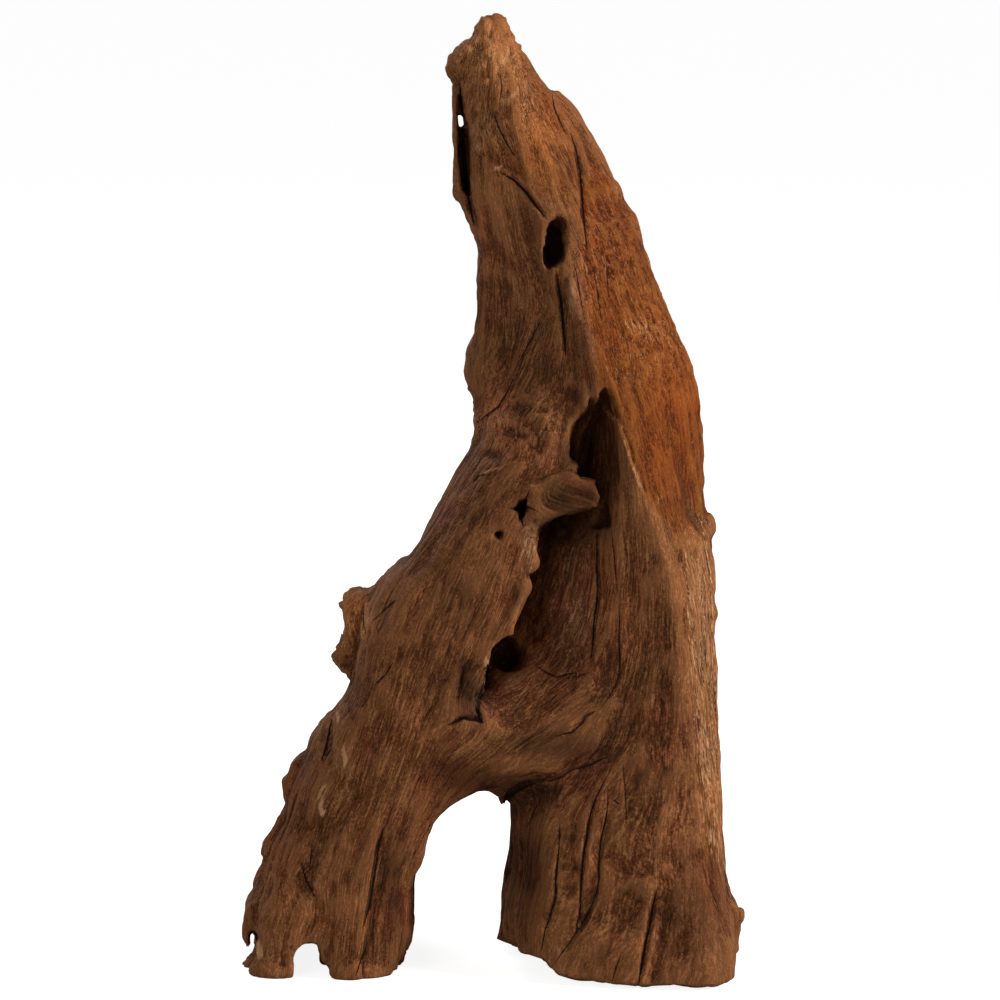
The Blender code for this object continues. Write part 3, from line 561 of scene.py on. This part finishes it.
def scene_place(pixel, depth):
    """The point, in millimetres, that a pixel of the photograph shows at a depth in the scene."""
    forward, right, up = camera_axes()
    eye = CAMERA_AIM - forward * CAMERA_DISTANCE
    across, down = ((value - PHOTO_SIDE / 2) / (PIXELS_PER_METRE * CAMERA_DISTANCE) for value in pixel)
    ray = forward + right * across - up * down
    return (eye + ray * ((depth * MM - eye.y) / ray.y)) / MM


def lattice_noise(points, layer):
    """Smooth noise from -1 to 1 at each point, with a cell size of one, different for each layer."""
    random = np.random.default_rng(NOISE_SEED + layer)
    order = random.permutation(256)
    values = random.uniform(-1, 1, 256)
    cell = np.floor(points).astype(int)
    part = points - cell
    part = part**3 * (part * (part * 6 - 15) + 10)
    total = np.zeros(len(points))
    for corner in np.ndindex(2, 2, 2):
        at = (cell + corner) & 255
        picked = order[(order[(order[at[:, 0]] + at[:, 1]) & 255] + at[:, 2]) & 255]
        total += values[picked] * np.prod(np.where(corner, part, 1 - part), axis=1)
    return total


def turned_about_knots(seen, depth):
    """Pixels turned about the knots of the front, so that the fibres bend round them."""
    for x, y, radius, turn, power in KNOTS:
        off = seen - (x, y)
        angle = math.radians(turn) * np.exp(-((np.hypot(*off.T) / radius) ** power))
        angle *= depth < 0
        sine, cosine = np.sin(angle), np.cos(angle)
        right, down = off.T
        seen = np.stack([x + right * cosine - down * sine, y + right * sine + down * cosine], 1)
    return seen


def fibres_at(points, normals):
    """Where each point lies across, deep and along the bundle of fibres, in millimetres."""
    seen = turned_about_knots(photo_place(points * (1, 0, 1)), points[:, 1])
    places = [place for place, _ in GRAIN_LINES]
    lines = [np.interp(seen[:, 1], *pairs(line).T[::-1]) for _, line in GRAIN_LINES]
    per_pixel = 1 / (PIXELS_PER_METRE * MM)
    across = places[0] + (seen[:, 0] - lines[0]) * per_pixel
    for low, high, start, end in zip(lines, lines[1:], places, places[1:]):
        share = (seen[:, 0] - low) / np.maximum(high - low, 1.0)
        across = np.where(seen[:, 0] >= low, start + share * (end - start), across)
    outside = seen[:, 0] > lines[-1]
    across = np.where(outside, places[-1] + (seen[:, 0] - lines[-1]) * per_pixel, across)
    side = np.abs(normals[:, 0]) * np.clip(1.4 + 2 * normals[:, 1], 0, 1)
    edge = np.where(across < BUNDLE_MIDDLE, *BUNDLE_EDGES)
    across = across - EDGE_DRAW * side * (across - edge) * bell(across - edge, EDGE_REACH)
    wave = 1.6 * lattice_noise(points / 26, 40) + 0.6 * lattice_noise(points / 9, 41)
    strand = np.stack([across + wave, points[:, 1], np.zeros(len(points))], 1)
    start = 32 * lattice_noise(strand / 9, 42) + 60 * lattice_noise(strand / 40, 43)
    strand[:, 2] = start - seen[:, 1] * per_pixel
    return strand


def line_gap(seen, stops):
    """The signed gap from each pixel to a line through stops, and how far along it, from 0 to 1."""
    lengths = np.linalg.norm(np.diff(stops, axis=0), axis=1)
    reached = np.concatenate([[0], np.cumsum(lengths)])
    nearest = np.full(len(seen), np.inf)
    side = np.ones(len(seen))
    place = np.zeros(len(seen))
    for start, end, length, before in zip(stops, stops[1:], lengths, reached):
        along = (end - start) / length
        run = np.clip((seen - start) @ along, 0, length)
        off = seen - start - run[:, None] * along
        gap = np.linalg.norm(off, axis=1)
        closer = gap < nearest
        nearest = np.where(closer, gap, nearest)
        side = np.where(closer, np.sign(off[:, 0] * along[1] - off[:, 1] * along[0]), side)
        place = np.where(closer, (before + run) / reached[-1], place)
    return nearest * side, place


def near_line(seen, facing, stops, reach):
    """The points that face the side and lie within reach of a line's box, with their line_gap."""
    low, high = np.min(stops, axis=0) - reach, np.max(stops, axis=0) + reach
    boxed = np.all((seen > low) & (seen < high), axis=1)
    picked = np.nonzero(boxed & (facing > SQUARE_ENOUGH))[0]
    return picked, *line_gap(seen[picked], stops)


def patch_reach(seen, patch):
    """How much of a patch's strength each point gets."""
    across, down, half_across, half_down, turn, strength = patch
    cosine, sine = math.cos(math.radians(turn)), math.sin(math.radians(turn))
    off = seen - (across, down)
    u = (off[:, 0] * cosine - off[:, 1] * sine) / half_across
    v = (off[:, 0] * sine + off[:, 1] * cosine) / half_down
    return strength * np.exp(-1.2 * (u * u + v * v) ** 1.5)


def patch_strength(sides, kind):
    """How strongly patches of one kind cover each point; painted light and shade, greys and sunk patches add
    up.
    """
    total = 0
    join = np.add if kind in ("tone_and_painted_shading", "grey", "sunk") else np.maximum
    for seen, facing, _, patches in sides:
        for patch in patches.get(kind, ()):
            total = join(total, facing * patch_reach(seen, patch))
    return total


def zone_strength(seen, facing, kind):
    """How strongly the zones of one kind cover each point."""
    total = np.zeros(len(seen))
    for softness, strength, flat in ZONES[kind]:
        corners = closed(flat)
        inside = np.zeros(len(seen), bool)
        for (x0, y0), (x1, y1) in zip(corners, corners[1:]):
            if y0 != y1:
                crossed = (seen[:, 1] < y0) != (seen[:, 1] < y1)
                inside ^= crossed & (seen[:, 0] < x0 + (seen[:, 1] - y0) * (x1 - x0) / (y1 - y0))
        gap, _ = line_gap(seen, corners)
        gap = np.where(inside, np.abs(gap), -np.abs(gap))
        total = np.maximum(total, strength * np.clip(0.5 + gap / (2 * softness), 0, 1))
    return facing * total


def turned(vectors, azimuth):
    """Vectors turned so that the side at an angle comes to the front."""
    cosine, sine = math.cos(math.radians(azimuth)), math.sin(math.radians(azimuth))
    x, y, z = vectors.T
    return np.stack([x * cosine + y * sine, y * cosine - x * sine, z], 1)


def seen_sides(points, normals):
    """For each side of the wood: the points' pixels, how squarely they face it, its splits and patches."""
    forward = np.array(camera_axes()[0])
    for azimuth, splits in SPLITS.items():
        facing = np.clip((0.05 - turned(normals, azimuth) @ forward) / 0.3, 0, 1)
        yield photo_place(turned(points, azimuth)), facing, splits, PATCHES[azimuth]


def surface_lift(points, normals, relief):
    """How far the weathered surface stands out from the solid at each point."""
    sides = list(seen_sides(points, normals))
    seen, facing, _, _ = sides[0]
    fibres = fibres_at(points, normals)
    lift = 0.7 * lattice_noise(points / 19, 30) + 0.35 * lattice_noise(points / 7, 31)
    for layer, (spacing, length, height, sharpness) in enumerate(FURROWS):
        wave = lattice_noise(fibres / (spacing, spacing, length), layer)
        if sharpness > 1:
            lift -= height * (1 - np.abs(wave)) ** (2 * sharpness) - 0.25 * height
        else:
            lift += height * wave
    lift *= 2 - facing
    crumbs = lattice_noise(points / 3.4, 32) + 0.6 * lattice_noise(points / 1.8, 33)
    lift += 0.9 * patch_strength(sides, "pitted") * crumbs
    lift *= relief
    lift -= patch_strength(sides, "sunk")
    for side_seen, side_facing, splits, _ in sides:
        for width, depth, line in splits:
            picked, gap, place = near_line(side_seen, side_facing, pairs(line), SPLIT_REACH)
            half = 0.35 * width * PIXELS_PER_METRE * MM * lens_width(place) + 0.7
            deep = depth * min(1, width / 2)
            lift[picked] -= deep * bell(gap, half) * fading(place, 6)
    for width, height, step, _, line in LIPS:
        picked, gap, place = near_line(seen, facing, pairs(line), LIP_REACH)
        half = width / 2 * PIXELS_PER_METRE * MM
        worn = 1 + 0.7 * lattice_noise(points[picked] / 5, 35)
        lift[picked] += height * worn * bell(gap, half) * fading(place, 8)
        lift[picked] -= step * np.exp(-np.abs(gap) / 7) * (gap > 0) * fading(place, 8)
    return lift


def helper_object(name, data):
    """An object in the scene that is there while a shape is made."""
    made = bpy.data.objects.new(name, data)
    bpy.context.scene.collection.objects.link(made)
    return made


def add_modifier(obj, kind, **settings):
    """Adds a modifier with its settings."""
    made = obj.modifiers.new(kind.lower(), kind)
    for name, value in settings.items():
        setattr(made, name, value)


def modified(wood, *tools):
    """The mesh that an object's modifiers give; it and the objects that they use are then removed."""
    bpy.context.view_layer.update()
    graph = bpy.context.evaluated_depsgraph_get()
    result = bpy.data.meshes.new_from_object(wood.evaluated_get(graph))
    for obj in (wood, *tools):
        bpy.data.objects.remove(obj)
    return result


def packed_copy():
    """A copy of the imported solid's mesh with its points merged."""
    mesh = bmesh.new()
    mesh.from_mesh(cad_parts[NODE].data)
    bmesh.ops.remove_doubles(mesh, verts=mesh.verts, dist=1e-6)
    data = bpy.data.meshes.new("rough_wood")
    mesh.to_mesh(data)
    mesh.free()
    return data


def slab(name, front, back, widths, flat):
    """A closed block whose outline in the photograph is a row of places."""
    mesh = bmesh.new()
    corners = pairs(flat)
    centre = np.mean(corners, axis=0)
    rings = []
    for width, depth in zip(widths, (front, (front + back) / 2, back)):
        rings.append([scene_place(centre + (corner - centre) * width, depth) * MM for corner in corners])
    number = mesh.verts.layers.int.new("number")
    for corner, place in enumerate(rings[0]):
        mesh.verts.new(place)[number] = corner
    first = end = mesh.faces.new(mesh.verts)
    for ring in rings[1:]:
        grown = bmesh.ops.extrude_face_region(mesh, geom=[end])["geom"]
        for item in grown:
            if isinstance(item, bmesh.types.BMVert):
                item.co = ring[item[number]]
        if end is not first:
            mesh.faces.remove(end)
        end = next(item for item in grown if isinstance(item, bmesh.types.BMFace))
    bmesh.ops.recalc_face_normals(mesh, faces=mesh.faces)
    data = bpy.data.meshes.new(name)
    mesh.to_mesh(data)
    mesh.free()
    return data


def reshaped(data):
    """The mesh with the small shapes of the outline added and the deep holes cut."""
    wood = helper_object("reshaping", data)
    tools = []
    for operation, table in (("UNION", ADDED), ("DIFFERENCE", CUT)):
        for name, *shape in table:
            tools.append(helper_object(name, slab(name, *shape)))
            add_modifier(wood, "BOOLEAN", operation=operation, solver="EXACT", object=tools[-1])
    return modified(wood, *tools)


def even_copy(data, voxel):
    """The mesh made anew of even cells."""
    wood = helper_object("evening", data)
    add_modifier(wood, "REMESH", mode="VOXEL", voxel_size=voxel)
    return modified(wood)


def thinned(data, triangles):
    """The mesh brought down to a number of triangles, fewest where it is flat."""
    wood = helper_object("thinning", data)
    share = min(1.0, triangles / (2 * len(data.polygons)))
    add_modifier(wood, "DECIMATE", ratio=share, use_collapse_triangulate=True)
    return modified(wood)


def neighbour_mean(data, values):
    """The mean of the values at each point's neighbours, one column at a time."""
    edges = np.empty(len(data.edges) * 2, int)
    data.edges.foreach_get("vertices", edges)
    a, b = edges.reshape(-1, 2).T
    size = len(values)
    count = np.bincount(a, minlength=size) + np.bincount(b, minlength=size)
    sums = [np.bincount(a, column[b], size) + np.bincount(b, column[a], size) for column in values.T]
    return np.stack(sums, 1) / np.maximum(count, 1)[:, None]


def crispness(points):
    """How near each point is to an added or cut shape, from 0 to 1."""
    seen = photo_place(points)
    total = np.zeros(len(points))
    for _, front, back, _, flat in ADDED + CUT:
        within = (points[:, 1] > front - SHAPE_MARGIN) & (points[:, 1] < back + SHAPE_MARGIN)
        picked, gap, _ = near_line(seen, within.astype(float), closed(flat), SHAPE_REACH)
        total[picked] = np.maximum(total[picked], bell(gap, 6))
    return total


def softened(data, passes):
    """Takes the facets off a mesh, but after the first passes hardly off its added and cut shapes."""
    points, _ = surface_of(data)
    free = 1 - 0.88 * crispness(points)[:, None]
    for step in range(passes):
        share = 0.5 * (free if step > 2 else 1)
        points += share * (neighbour_mean(data, points) - points)
    move_points(data, points)


def calmed(data, passes=4, step=0.2):
    """Draws in points that stand off from their neighbours, such as the steps left on thin edges."""
    points, _ = surface_of(data)
    for _ in range(passes):
        off = neighbour_mean(data, points) - points
        share = np.clip(np.linalg.norm(off, axis=1) / step - 1, 0, 0.6)
        points += off * share[:, None]
    move_points(data, points)


def boxed_in(points):
    """Points, in millimetres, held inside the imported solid's box."""
    low, high = (np.array(corner) / MM for corner in CAD_BOX)
    return np.clip(points, low, high)


def hollowness(data):
    """How far each point lies below the surface around it, in millimetres; crests are negative."""
    points, normals = surface_of(data)
    mean = points
    for _ in range(HOLLOW_PASSES):
        mean = neighbour_mean(data, mean)
    return np.einsum("ij,ij->i", mean - points, normals)


def add_vectors(data, name, values):
    """Stores one vector for each point of a mesh under a name that materials read."""
    layer = data.attributes.new(name, "FLOAT_VECTOR", "POINT")
    layer.data.foreach_set("vector", np.ascontiguousarray(values, float).ravel())


def nearest_splits(points, sides):
    """The signed gap from each point to its nearest split, and that split's half width there."""
    gaps = np.full(len(points), NO_SPLIT)
    width = np.zeros(len(points))
    for seen, facing, splits, _ in sides:
        for full_width, _, line in splits:
            picked, gap, place = near_line(seen, facing, pairs(line), SPLIT_REACH)
            gap = gap / (PIXELS_PER_METRE * MM)
            closer = np.abs(gap) < np.abs(gaps[picked])
            half = 0.28 * full_width * lens_width(place) * np.clip(3.5 - np.abs(gap), 0, 1)
            gaps[picked] = np.where(closer, gap, gaps[picked])
            width[picked] = np.where(closer, half, width[picked])
    return gaps, width


def store_surface_facts(data, hollow):
    """Stores where the fibres run, the stains and painted shade, the hollows, the splits and the painted
    light and shade, for the material.
    """
    points, normals = surface_of(data)
    sides = list(seen_sides(points, normals))
    seen, facing, _, _ = sides[0]
    fibres = fibres_at(points, normals)
    torn = [lattice_noise(fibres / (2.5, 2.5, 30), layer) for layer in (36, 37)]
    square = np.clip(-normals @ np.array(camera_axes()[0]), 0, 1)[:, None]
    ragged = seen + np.stack(torn, 1) * np.concatenate([3 + 0 * square, 12 + 130 * (1 - square) ** 2], 1)
    # The dark stains hold painted shade too: on the shaded left face, in recesses and under overhangs
    stains_and_shade = [np.maximum(patch_strength(sides, kind), zone_strength(ragged, facing, kind)) for kind in STAINS_AND_SHADE]
    for full_width, _, _, paleness, line in LIPS:
        picked, gap, place = near_line(seen, facing, pairs(line), LIP_REACH)
        half = full_width / 2 * PIXELS_PER_METRE * MM
        shown = paleness * bell(gap, half) * fading(place, 8)
        stains_and_shade[2][picked] = np.maximum(stains_and_shade[2][picked], shown)
    pitted, red, tone_and_painted_shading, grey = (patch_strength(sides, kind) for kind in ("pitted", "red", "tone_and_painted_shading", "grey"))
    add_vectors(data, "fibres", fibres * MM)
    add_vectors(data, "stains_and_shade", np.stack(stains_and_shade, 1))
    add_vectors(data, "relief", np.stack([hollow, pitted, red], 1))
    add_vectors(data, "split", np.stack([*nearest_splits(points, sides), facing], 1))
    # Painted light and shade, with some of the wood's own tone: the factor that the wood's colour is
    # multiplied by
    add_vectors(data, "tone_and_painted_shading", 2 ** (tone_and_painted_shading[:, None] + grey[:, None] * GREY_SHIFT))


def new_node(tree, kind, *values, inputs=None, **settings):
    """Adds a shader node; its values go to its first inputs and those under inputs to the ones named."""
    made = tree.nodes.new(kind)
    for name, value in settings.items():
        setattr(made, name, value)
    for socket, value in (*enumerate(values), *(inputs or {}).items()):
        feed(tree, made.inputs[socket], value)
    return made


def feed(tree, socket, value):
    """Gives an input its value, or links another node's output to it."""
    if isinstance(value, bpy.types.NodeSocket):
        tree.links.new(value, socket)
    else:
        socket.default_value = value


def mixed(tree, factor, low, high, blend="MIX"):
    """A mix of two colours."""
    inputs = {0: factor, 6: low, 7: high}
    return new_node(tree, "ShaderNodeMix", inputs=inputs, data_type="RGBA", blend_type=blend).outputs[2]


def computed(tree, operation, *values):
    """What a sum or another operation makes of its values."""
    return new_node(tree, "ShaderNodeMath", *values, operation=operation).outputs[0]


def ranged(tree, value, low, high, start=0.0, end=1.0):
    """A value carried from one range to another and held inside it."""
    return new_node(tree, "ShaderNodeMapRange", value, low, high, start, end).outputs["Result"]


def speckled(tree, place, scale, detail, roughness):
    """Noise of one scale, in a node's own steps per metre."""
    inputs = {"Vector": place, "Scale": scale, "Detail": detail, "Roughness": roughness}
    return new_node(tree, "ShaderNodeTexNoise", inputs=inputs).outputs["Fac"]


def strand_group():
    """A node group: streaks of fibre of one spacing and length, from 0 to 1."""
    group = bpy.data.node_groups.new("fibre_strands", "ShaderNodeTree")
    group.interface.new_socket("Fibres", in_out="INPUT", socket_type="NodeSocketVector")
    for name, default in (("Spacing", 0.001), ("Length", 0.03), ("Detail", 3.0), ("Twist", 0.0)):
        socket = group.interface.new_socket(name, in_out="INPUT", socket_type="NodeSocketFloat")
        socket.default_value = default
    group.interface.new_socket("Strand", in_out="OUTPUT", socket_type="NodeSocketFloat")
    fibres, spacing, length, detail, twist = list(group.nodes.new("NodeGroupInput").outputs)[:5]
    scale = new_node(group, "ShaderNodeCombineXYZ", spacing, spacing, length).outputs[0]
    stretched = new_node(group, "ShaderNodeVectorMath", fibres, scale, operation="DIVIDE").outputs[0]
    inputs = {"Vector": stretched, "Scale": 1.0, "Detail": detail, "Roughness": 0.6, "Distortion": twist}
    noise = new_node(group, "ShaderNodeTexNoise", inputs=inputs)
    new_node(group, "NodeGroupOutput", noise.outputs["Fac"])
    return group


def strands(tree, group, fibres, spacing, length, detail=3.0, twist=0.0):
    """One layer of streaks in a material."""
    inputs = {"Fibres": fibres, "Spacing": spacing, "Length": length, "Detail": detail, "Twist": twist}
    return new_node(tree, "ShaderNodeGroup", inputs=inputs, node_tree=group).outputs["Strand"]


def stored(tree, name):
    """A vector that store_surface_facts stored."""
    return new_node(tree, "ShaderNodeAttribute", attribute_name=name).outputs["Vector"]


def wood_material(colours):
    """Dry weathered wood: streaked fibres, stains, dark furrows, splits, and painted light and shade, with
    the fibres raised.
    """
    material = bpy.data.materials.new("weathered_wood")
    material.use_nodes = True
    tree = material.node_tree
    shader = tree.nodes["Principled BSDF"]
    dark, brown, light, orange, fresh, pale = (
        (*getattr(colours, name), 1) for name in ("dark", "brown", "light", "orange", "fresh", "pale")
    )
    mix, sums, fit = (functools.partial(function, tree) for function in (mixed, computed, ranged))
    summed = functools.partial(sums, "MULTIPLY_ADD")
    streaks = functools.partial(strands, tree, strand_group(), stored(tree, "fibres"))
    dark_stain_and_shade, orange_stain, pale_stain, hollow, pitted, red_stain, split_side, split_width, front_share = (
        number
        for name in ("stains_and_shade", "relief", "split")
        for number in new_node(tree, "ShaderNodeSeparateXYZ", stored(tree, name)).outputs
    )

    # The layers of the grain: spacing, length, detail and twist, and the noise of the wood between them
    hair = streaks(0.0007, 0.011, 4.0)
    loose = streaks(0.0010, 0.009, 2.0, 0.6)
    thread = streaks(0.0017, 0.024, 4.0, 0.15)
    band = streaks(0.0060, 0.080, 4.0, 0.3)
    grain = streaks(0.0013, 0.0028, 3.0, 0.4)
    check = streaks(0.011, 0.085, 2.0, 0.1)
    place = new_node(tree, "ShaderNodeTexCoord").outputs["Object"]
    blotch, speck, hue = (
        speckled(tree, place, *noise) for noise in ((34.0, 5.0, 0.6), (900.0, 3.0, 0.7), (40.0, 4.0, 0.6))
    )

    # The wood's own tone, from its furrows to its crests, old and freshly split
    tone = sums("MULTIPLY", hair, 0.26)
    for layer, weight in ((thread, 0.19), (band, 0.09), (blotch, 0.09), (speck, 0.20), (grain, 0.17)):
        tone = summed(layer, weight, tone)
    tone = fit(tone, 0.435, 0.575)
    old = mix(fit(tone, 0.5, 1.0), mix(fit(tone, 0.0, 0.5), dark, brown), light)
    new = mix(fit(tone, 0.5, 1.1), mix(fit(tone, 0.0, 0.5), dark, orange), fresh)

    # How far each stain, wear and shadow covers the wood
    orange_edge = fit(sums("ADD", orange_stain, summed(band, 0.9, -0.45)), 0.15, 0.75)
    reddish = fit(summed(red_stain, 0.35, hue), 0.46, 0.74, 0.0, 0.85)
    ochre = fit(hue, 0.46, 0.30, 0.0, 0.6)
    frayed = summed(grain, 1.5, summed(thread, 1.0, -1.25))
    pale_edge = fit(sums("ADD", pale_stain, frayed), 0.40, 0.80)
    # Dark stains with painted shade: the dark patches also darken recesses, overhangs and the shaded left
    # face
    dark_stain_and_shade_edge = fit(sums("ADD", dark_stain_and_shade, summed(blotch, 0.7, -0.4)), 0.1, 1.0, 0.0, 0.72)
    light_hair = fit(summed(pitted, 0.07, loose), 0.63, 0.72, 0.0, 0.55)
    fleck_colour = mix(sums("MULTIPLY", pitted, 0.5), light, pale)

    # The open splits, with a wandering edge, and the fine checks between them
    wander = summed(grain, 0.9, summed(thread, 0.9, -0.9))
    away = sums("ABSOLUTE", sums("ADD", split_side, wander))
    worn_width = sums("MULTIPLY", split_width, fit(blotch, 0.35, 0.6, 0.5, 1.25))
    open_split = fit(sums("SUBTRACT", worn_width, away), -0.10, 0.12)
    check = fit(sums("ABSOLUTE", sums("SUBTRACT", check, 0.5)), 0.004, 0.010, 1.0, 0.0)
    check = sums("MULTIPLY", check, fit(band, 0.50, 0.56))
    check = sums("MULTIPLY", check, fit(front_share, 0.0, 0.8, 0.9, 0.12))
    crack = sums("MAXIMUM", open_split, check)

    colour = mix(orange_edge, old, new)
    for factor, coat, blend in (
        (reddish, (1.06, 0.80, 0.86, 1), "MULTIPLY"),
        (ochre, (0.96, 1.13, 0.92, 1), "MULTIPLY"),
        (orange_edge, (0.84, 0.76, 0.52, 1), "MULTIPLY"),
        (pale_edge, pale, "MIX"),
        (dark_stain_and_shade_edge, dark, "MIX"),
        (fit(hollow, 0.0, -0.6, 0.0, 0.35), mix(orange_edge, light, fresh), "MIX"),
        # Painted shade: the deeper a point lies in a hollow, the darker the wood
        (fit(hollow, 0.12, 1.2, 0.0, 0.62), dark, "MIX"),
        (light_hair, fleck_colour, "MIX"),
        (fit(loose, 0.36, 0.29, 0.0, 0.6), dark, "MIX"),
        (fit(speck, 0.30, 0.42, 0.45, 0.0), dark, "MIX"),
        # Painted light and shade, with some tone: the stored factor lightens and darkens the wood patch by
        # patch
        (1.0, stored(tree, "tone_and_painted_shading"), "MULTIPLY"),
        (crack, (0.011, 0.0050, 0.0030, 1), "MIX"),
    ):
        colour = mix(factor, colour, coat, blend)

    height = sums("MULTIPLY", hair, 0.20)
    crumbs = sums("MULTIPLY", pitted, speck)
    for layer, weight in ((thread, 0.40), (band, 0.35), (crumbs, 0.6), (crack, -0.8)):
        height = summed(layer, weight, height)
    bump = new_node(tree, "ShaderNodeBump", inputs={"Strength": 1.0, "Distance": 0.0013, "Height": height})
    feed(tree, shader.inputs["Base Color"], colour)
    feed(tree, shader.inputs["Normal"], bump.outputs[0])
    feed(tree, shader.inputs["Roughness"], fit(tone, 0.0, 1.0, 0.92, 0.72))
    feed(tree, shader.inputs["Specular IOR Level"], 0.12)
    return material


class DRIFTWOOD_OT_wood(bpy.types.Operator):
    """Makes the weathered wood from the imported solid"""

    bl_idname = "driftwood.wood"
    bl_label = "Weathered Wood"

    def execute(self, context):
        shape = context.scene.driftwood_shape
        data = even_copy(reshaped(packed_copy()), shape.voxel)
        softened(data, shape.smoothing)
        points, normals = surface_of(data)
        lift = surface_lift(points, normals, shape.relief)
        move_points(data, boxed_in(points + normals * lift[:, None]))
        calmed(data)
        data = thinned(data, shape.triangles)
        move_points(data, boxed_in(surface_of(data)[0]))
        store_surface_facts(data, hollowness(data))
        data.shade_smooth()
        wood = bpy.data.objects.new("weathered_wood", data)
        context.scene.collection.objects.link(wood)
        data.materials.clear()
        data.materials.append(wood_material(context.scene.driftwood_colours))
        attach(wood, "root")
        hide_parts(NODE)
        return {"FINISHED"}


def seen_by_camera(tree, hidden, shown):
    """A value that is one thing to the camera and another to the light that falls on the wood."""
    path = new_node(tree, "ShaderNodeLightPath")
    return ranged(tree, path.outputs["Is Camera Ray"], 0.0, 1.0, hidden, shown)


def pale_paper():
    """The floor's material: grey to the light, and white to the camera."""
    paper = bpy.data.materials.new("pale_paper")
    paper.use_nodes = True
    tree = paper.node_tree
    for name, value in (
        ("Base Color", (FLOOR_GREY, FLOOR_GREY, FLOOR_GREY, 1)),
        ("Roughness", 0.9),
        ("Specular IOR Level", 0.0),
        ("Emission Strength", seen_by_camera(tree, 0.0, FLOOR_GLOW)),
        ("Emission Color", (1, 1, 1, 1)),
    ):
        feed(tree, tree.nodes["Principled BSDF"].inputs[name], value)
    return paper


def studio_air():
    """The white world, which gives the wood less light than the camera sees."""
    world = bpy.data.worlds.new("studio_air")
    world.use_nodes = True
    background = world.node_tree.nodes["Background"]
    feed(world.node_tree, background.inputs["Strength"], seen_by_camera(world.node_tree, AIR_LIGHT, 1.0))
    background.inputs["Color"].default_value = (1, 1, 1, 1)
    return world


class DRIFTWOOD_OT_studio(bpy.types.Operator):
    """Makes the pale floor, the soft lights and the camera"""

    bl_idname = "driftwood.studio"
    bl_label = "Studio"

    def execute(self, context):
        scene = context.scene
        studio = scene.driftwood_studio
        mesh = bmesh.new()
        bmesh.ops.create_circle(mesh, cap_ends=True, segments=64, radius=studio.floor_radius)
        data = bpy.data.meshes.new("floor")
        mesh.to_mesh(data)
        mesh.free()
        data.materials.append(pale_paper())
        floor = bpy.data.objects.new("floor", data)
        scene.collection.objects.link(floor)
        scene.world = studio_air()
        scene.view_settings.view_transform = "Standard"

        for name, (place, size, colour, power, share) in LIGHTS.items():
            light = bpy.data.lights.new(name, "AREA")
            light.size = size
            light.energy = share * getattr(studio, power)
            light.color = colour
            lamp = bpy.data.objects.new(name, light)
            lamp.location = place
            lamp.rotation_euler = (Vector(LIGHT_AIM) - Vector(place)).to_track_quat("-Z", "Y").to_euler()
            scene.collection.objects.link(lamp)

        forward, _, _ = camera_axes()
        lens = bpy.data.cameras.new("camera")
        camera = bpy.data.objects.new("camera", lens)
        lens.sensor_width = CAMERA_SENSOR
        lens.lens = CAMERA_SENSOR * CAMERA_DISTANCE * PIXELS_PER_METRE / PHOTO_SIDE
        camera.location = CAMERA_AIM - forward * CAMERA_DISTANCE
        camera.rotation_euler = forward.to_track_quat("-Z", "Y").to_euler()
        scene.collection.objects.link(camera)
        scene.camera = camera
        return {"FINISHED"}


class DRIFTWOOD_PT_panel(bpy.types.Panel):
    """Lists the steps that make the driftwood"""

    bl_label = "Driftwood"
    bl_space_type = "VIEW_3D"
    bl_region_type = "UI"
    bl_category = "Driftwood"

    def draw(self, context):
        for kind in OPERATORS:
            self.layout.operator(kind.bl_idname)
        for group in SETTINGS:
            settings = getattr(context.scene, group)
            for name in settings.__annotations__:
                self.layout.prop(settings, name)


SETTINGS = {"driftwood_shape": WoodShape, "driftwood_colours": WoodColours, "driftwood_studio": Studio}
OPERATORS = (DRIFTWOOD_OT_wood, DRIFTWOOD_OT_studio)
CLASSES = (*SETTINGS.values(), *OPERATORS, DRIFTWOOD_PT_panel)


def register():
    for kind in CLASSES:
        bpy.utils.register_class(kind)
    for name, kind in SETTINGS.items():
        setattr(bpy.types.Scene, name, PointerProperty(type=kind))


def unregister():
    for name in SETTINGS:
        delattr(bpy.types.Scene, name)
    for kind in reversed(CLASSES):
        bpy.utils.unregister_class(kind)


def main():
    """Makes every piece."""
    register()
    bpy.ops.driftwood.wood()
    bpy.ops.driftwood.studio()


if __name__ == "__main__":
    main()
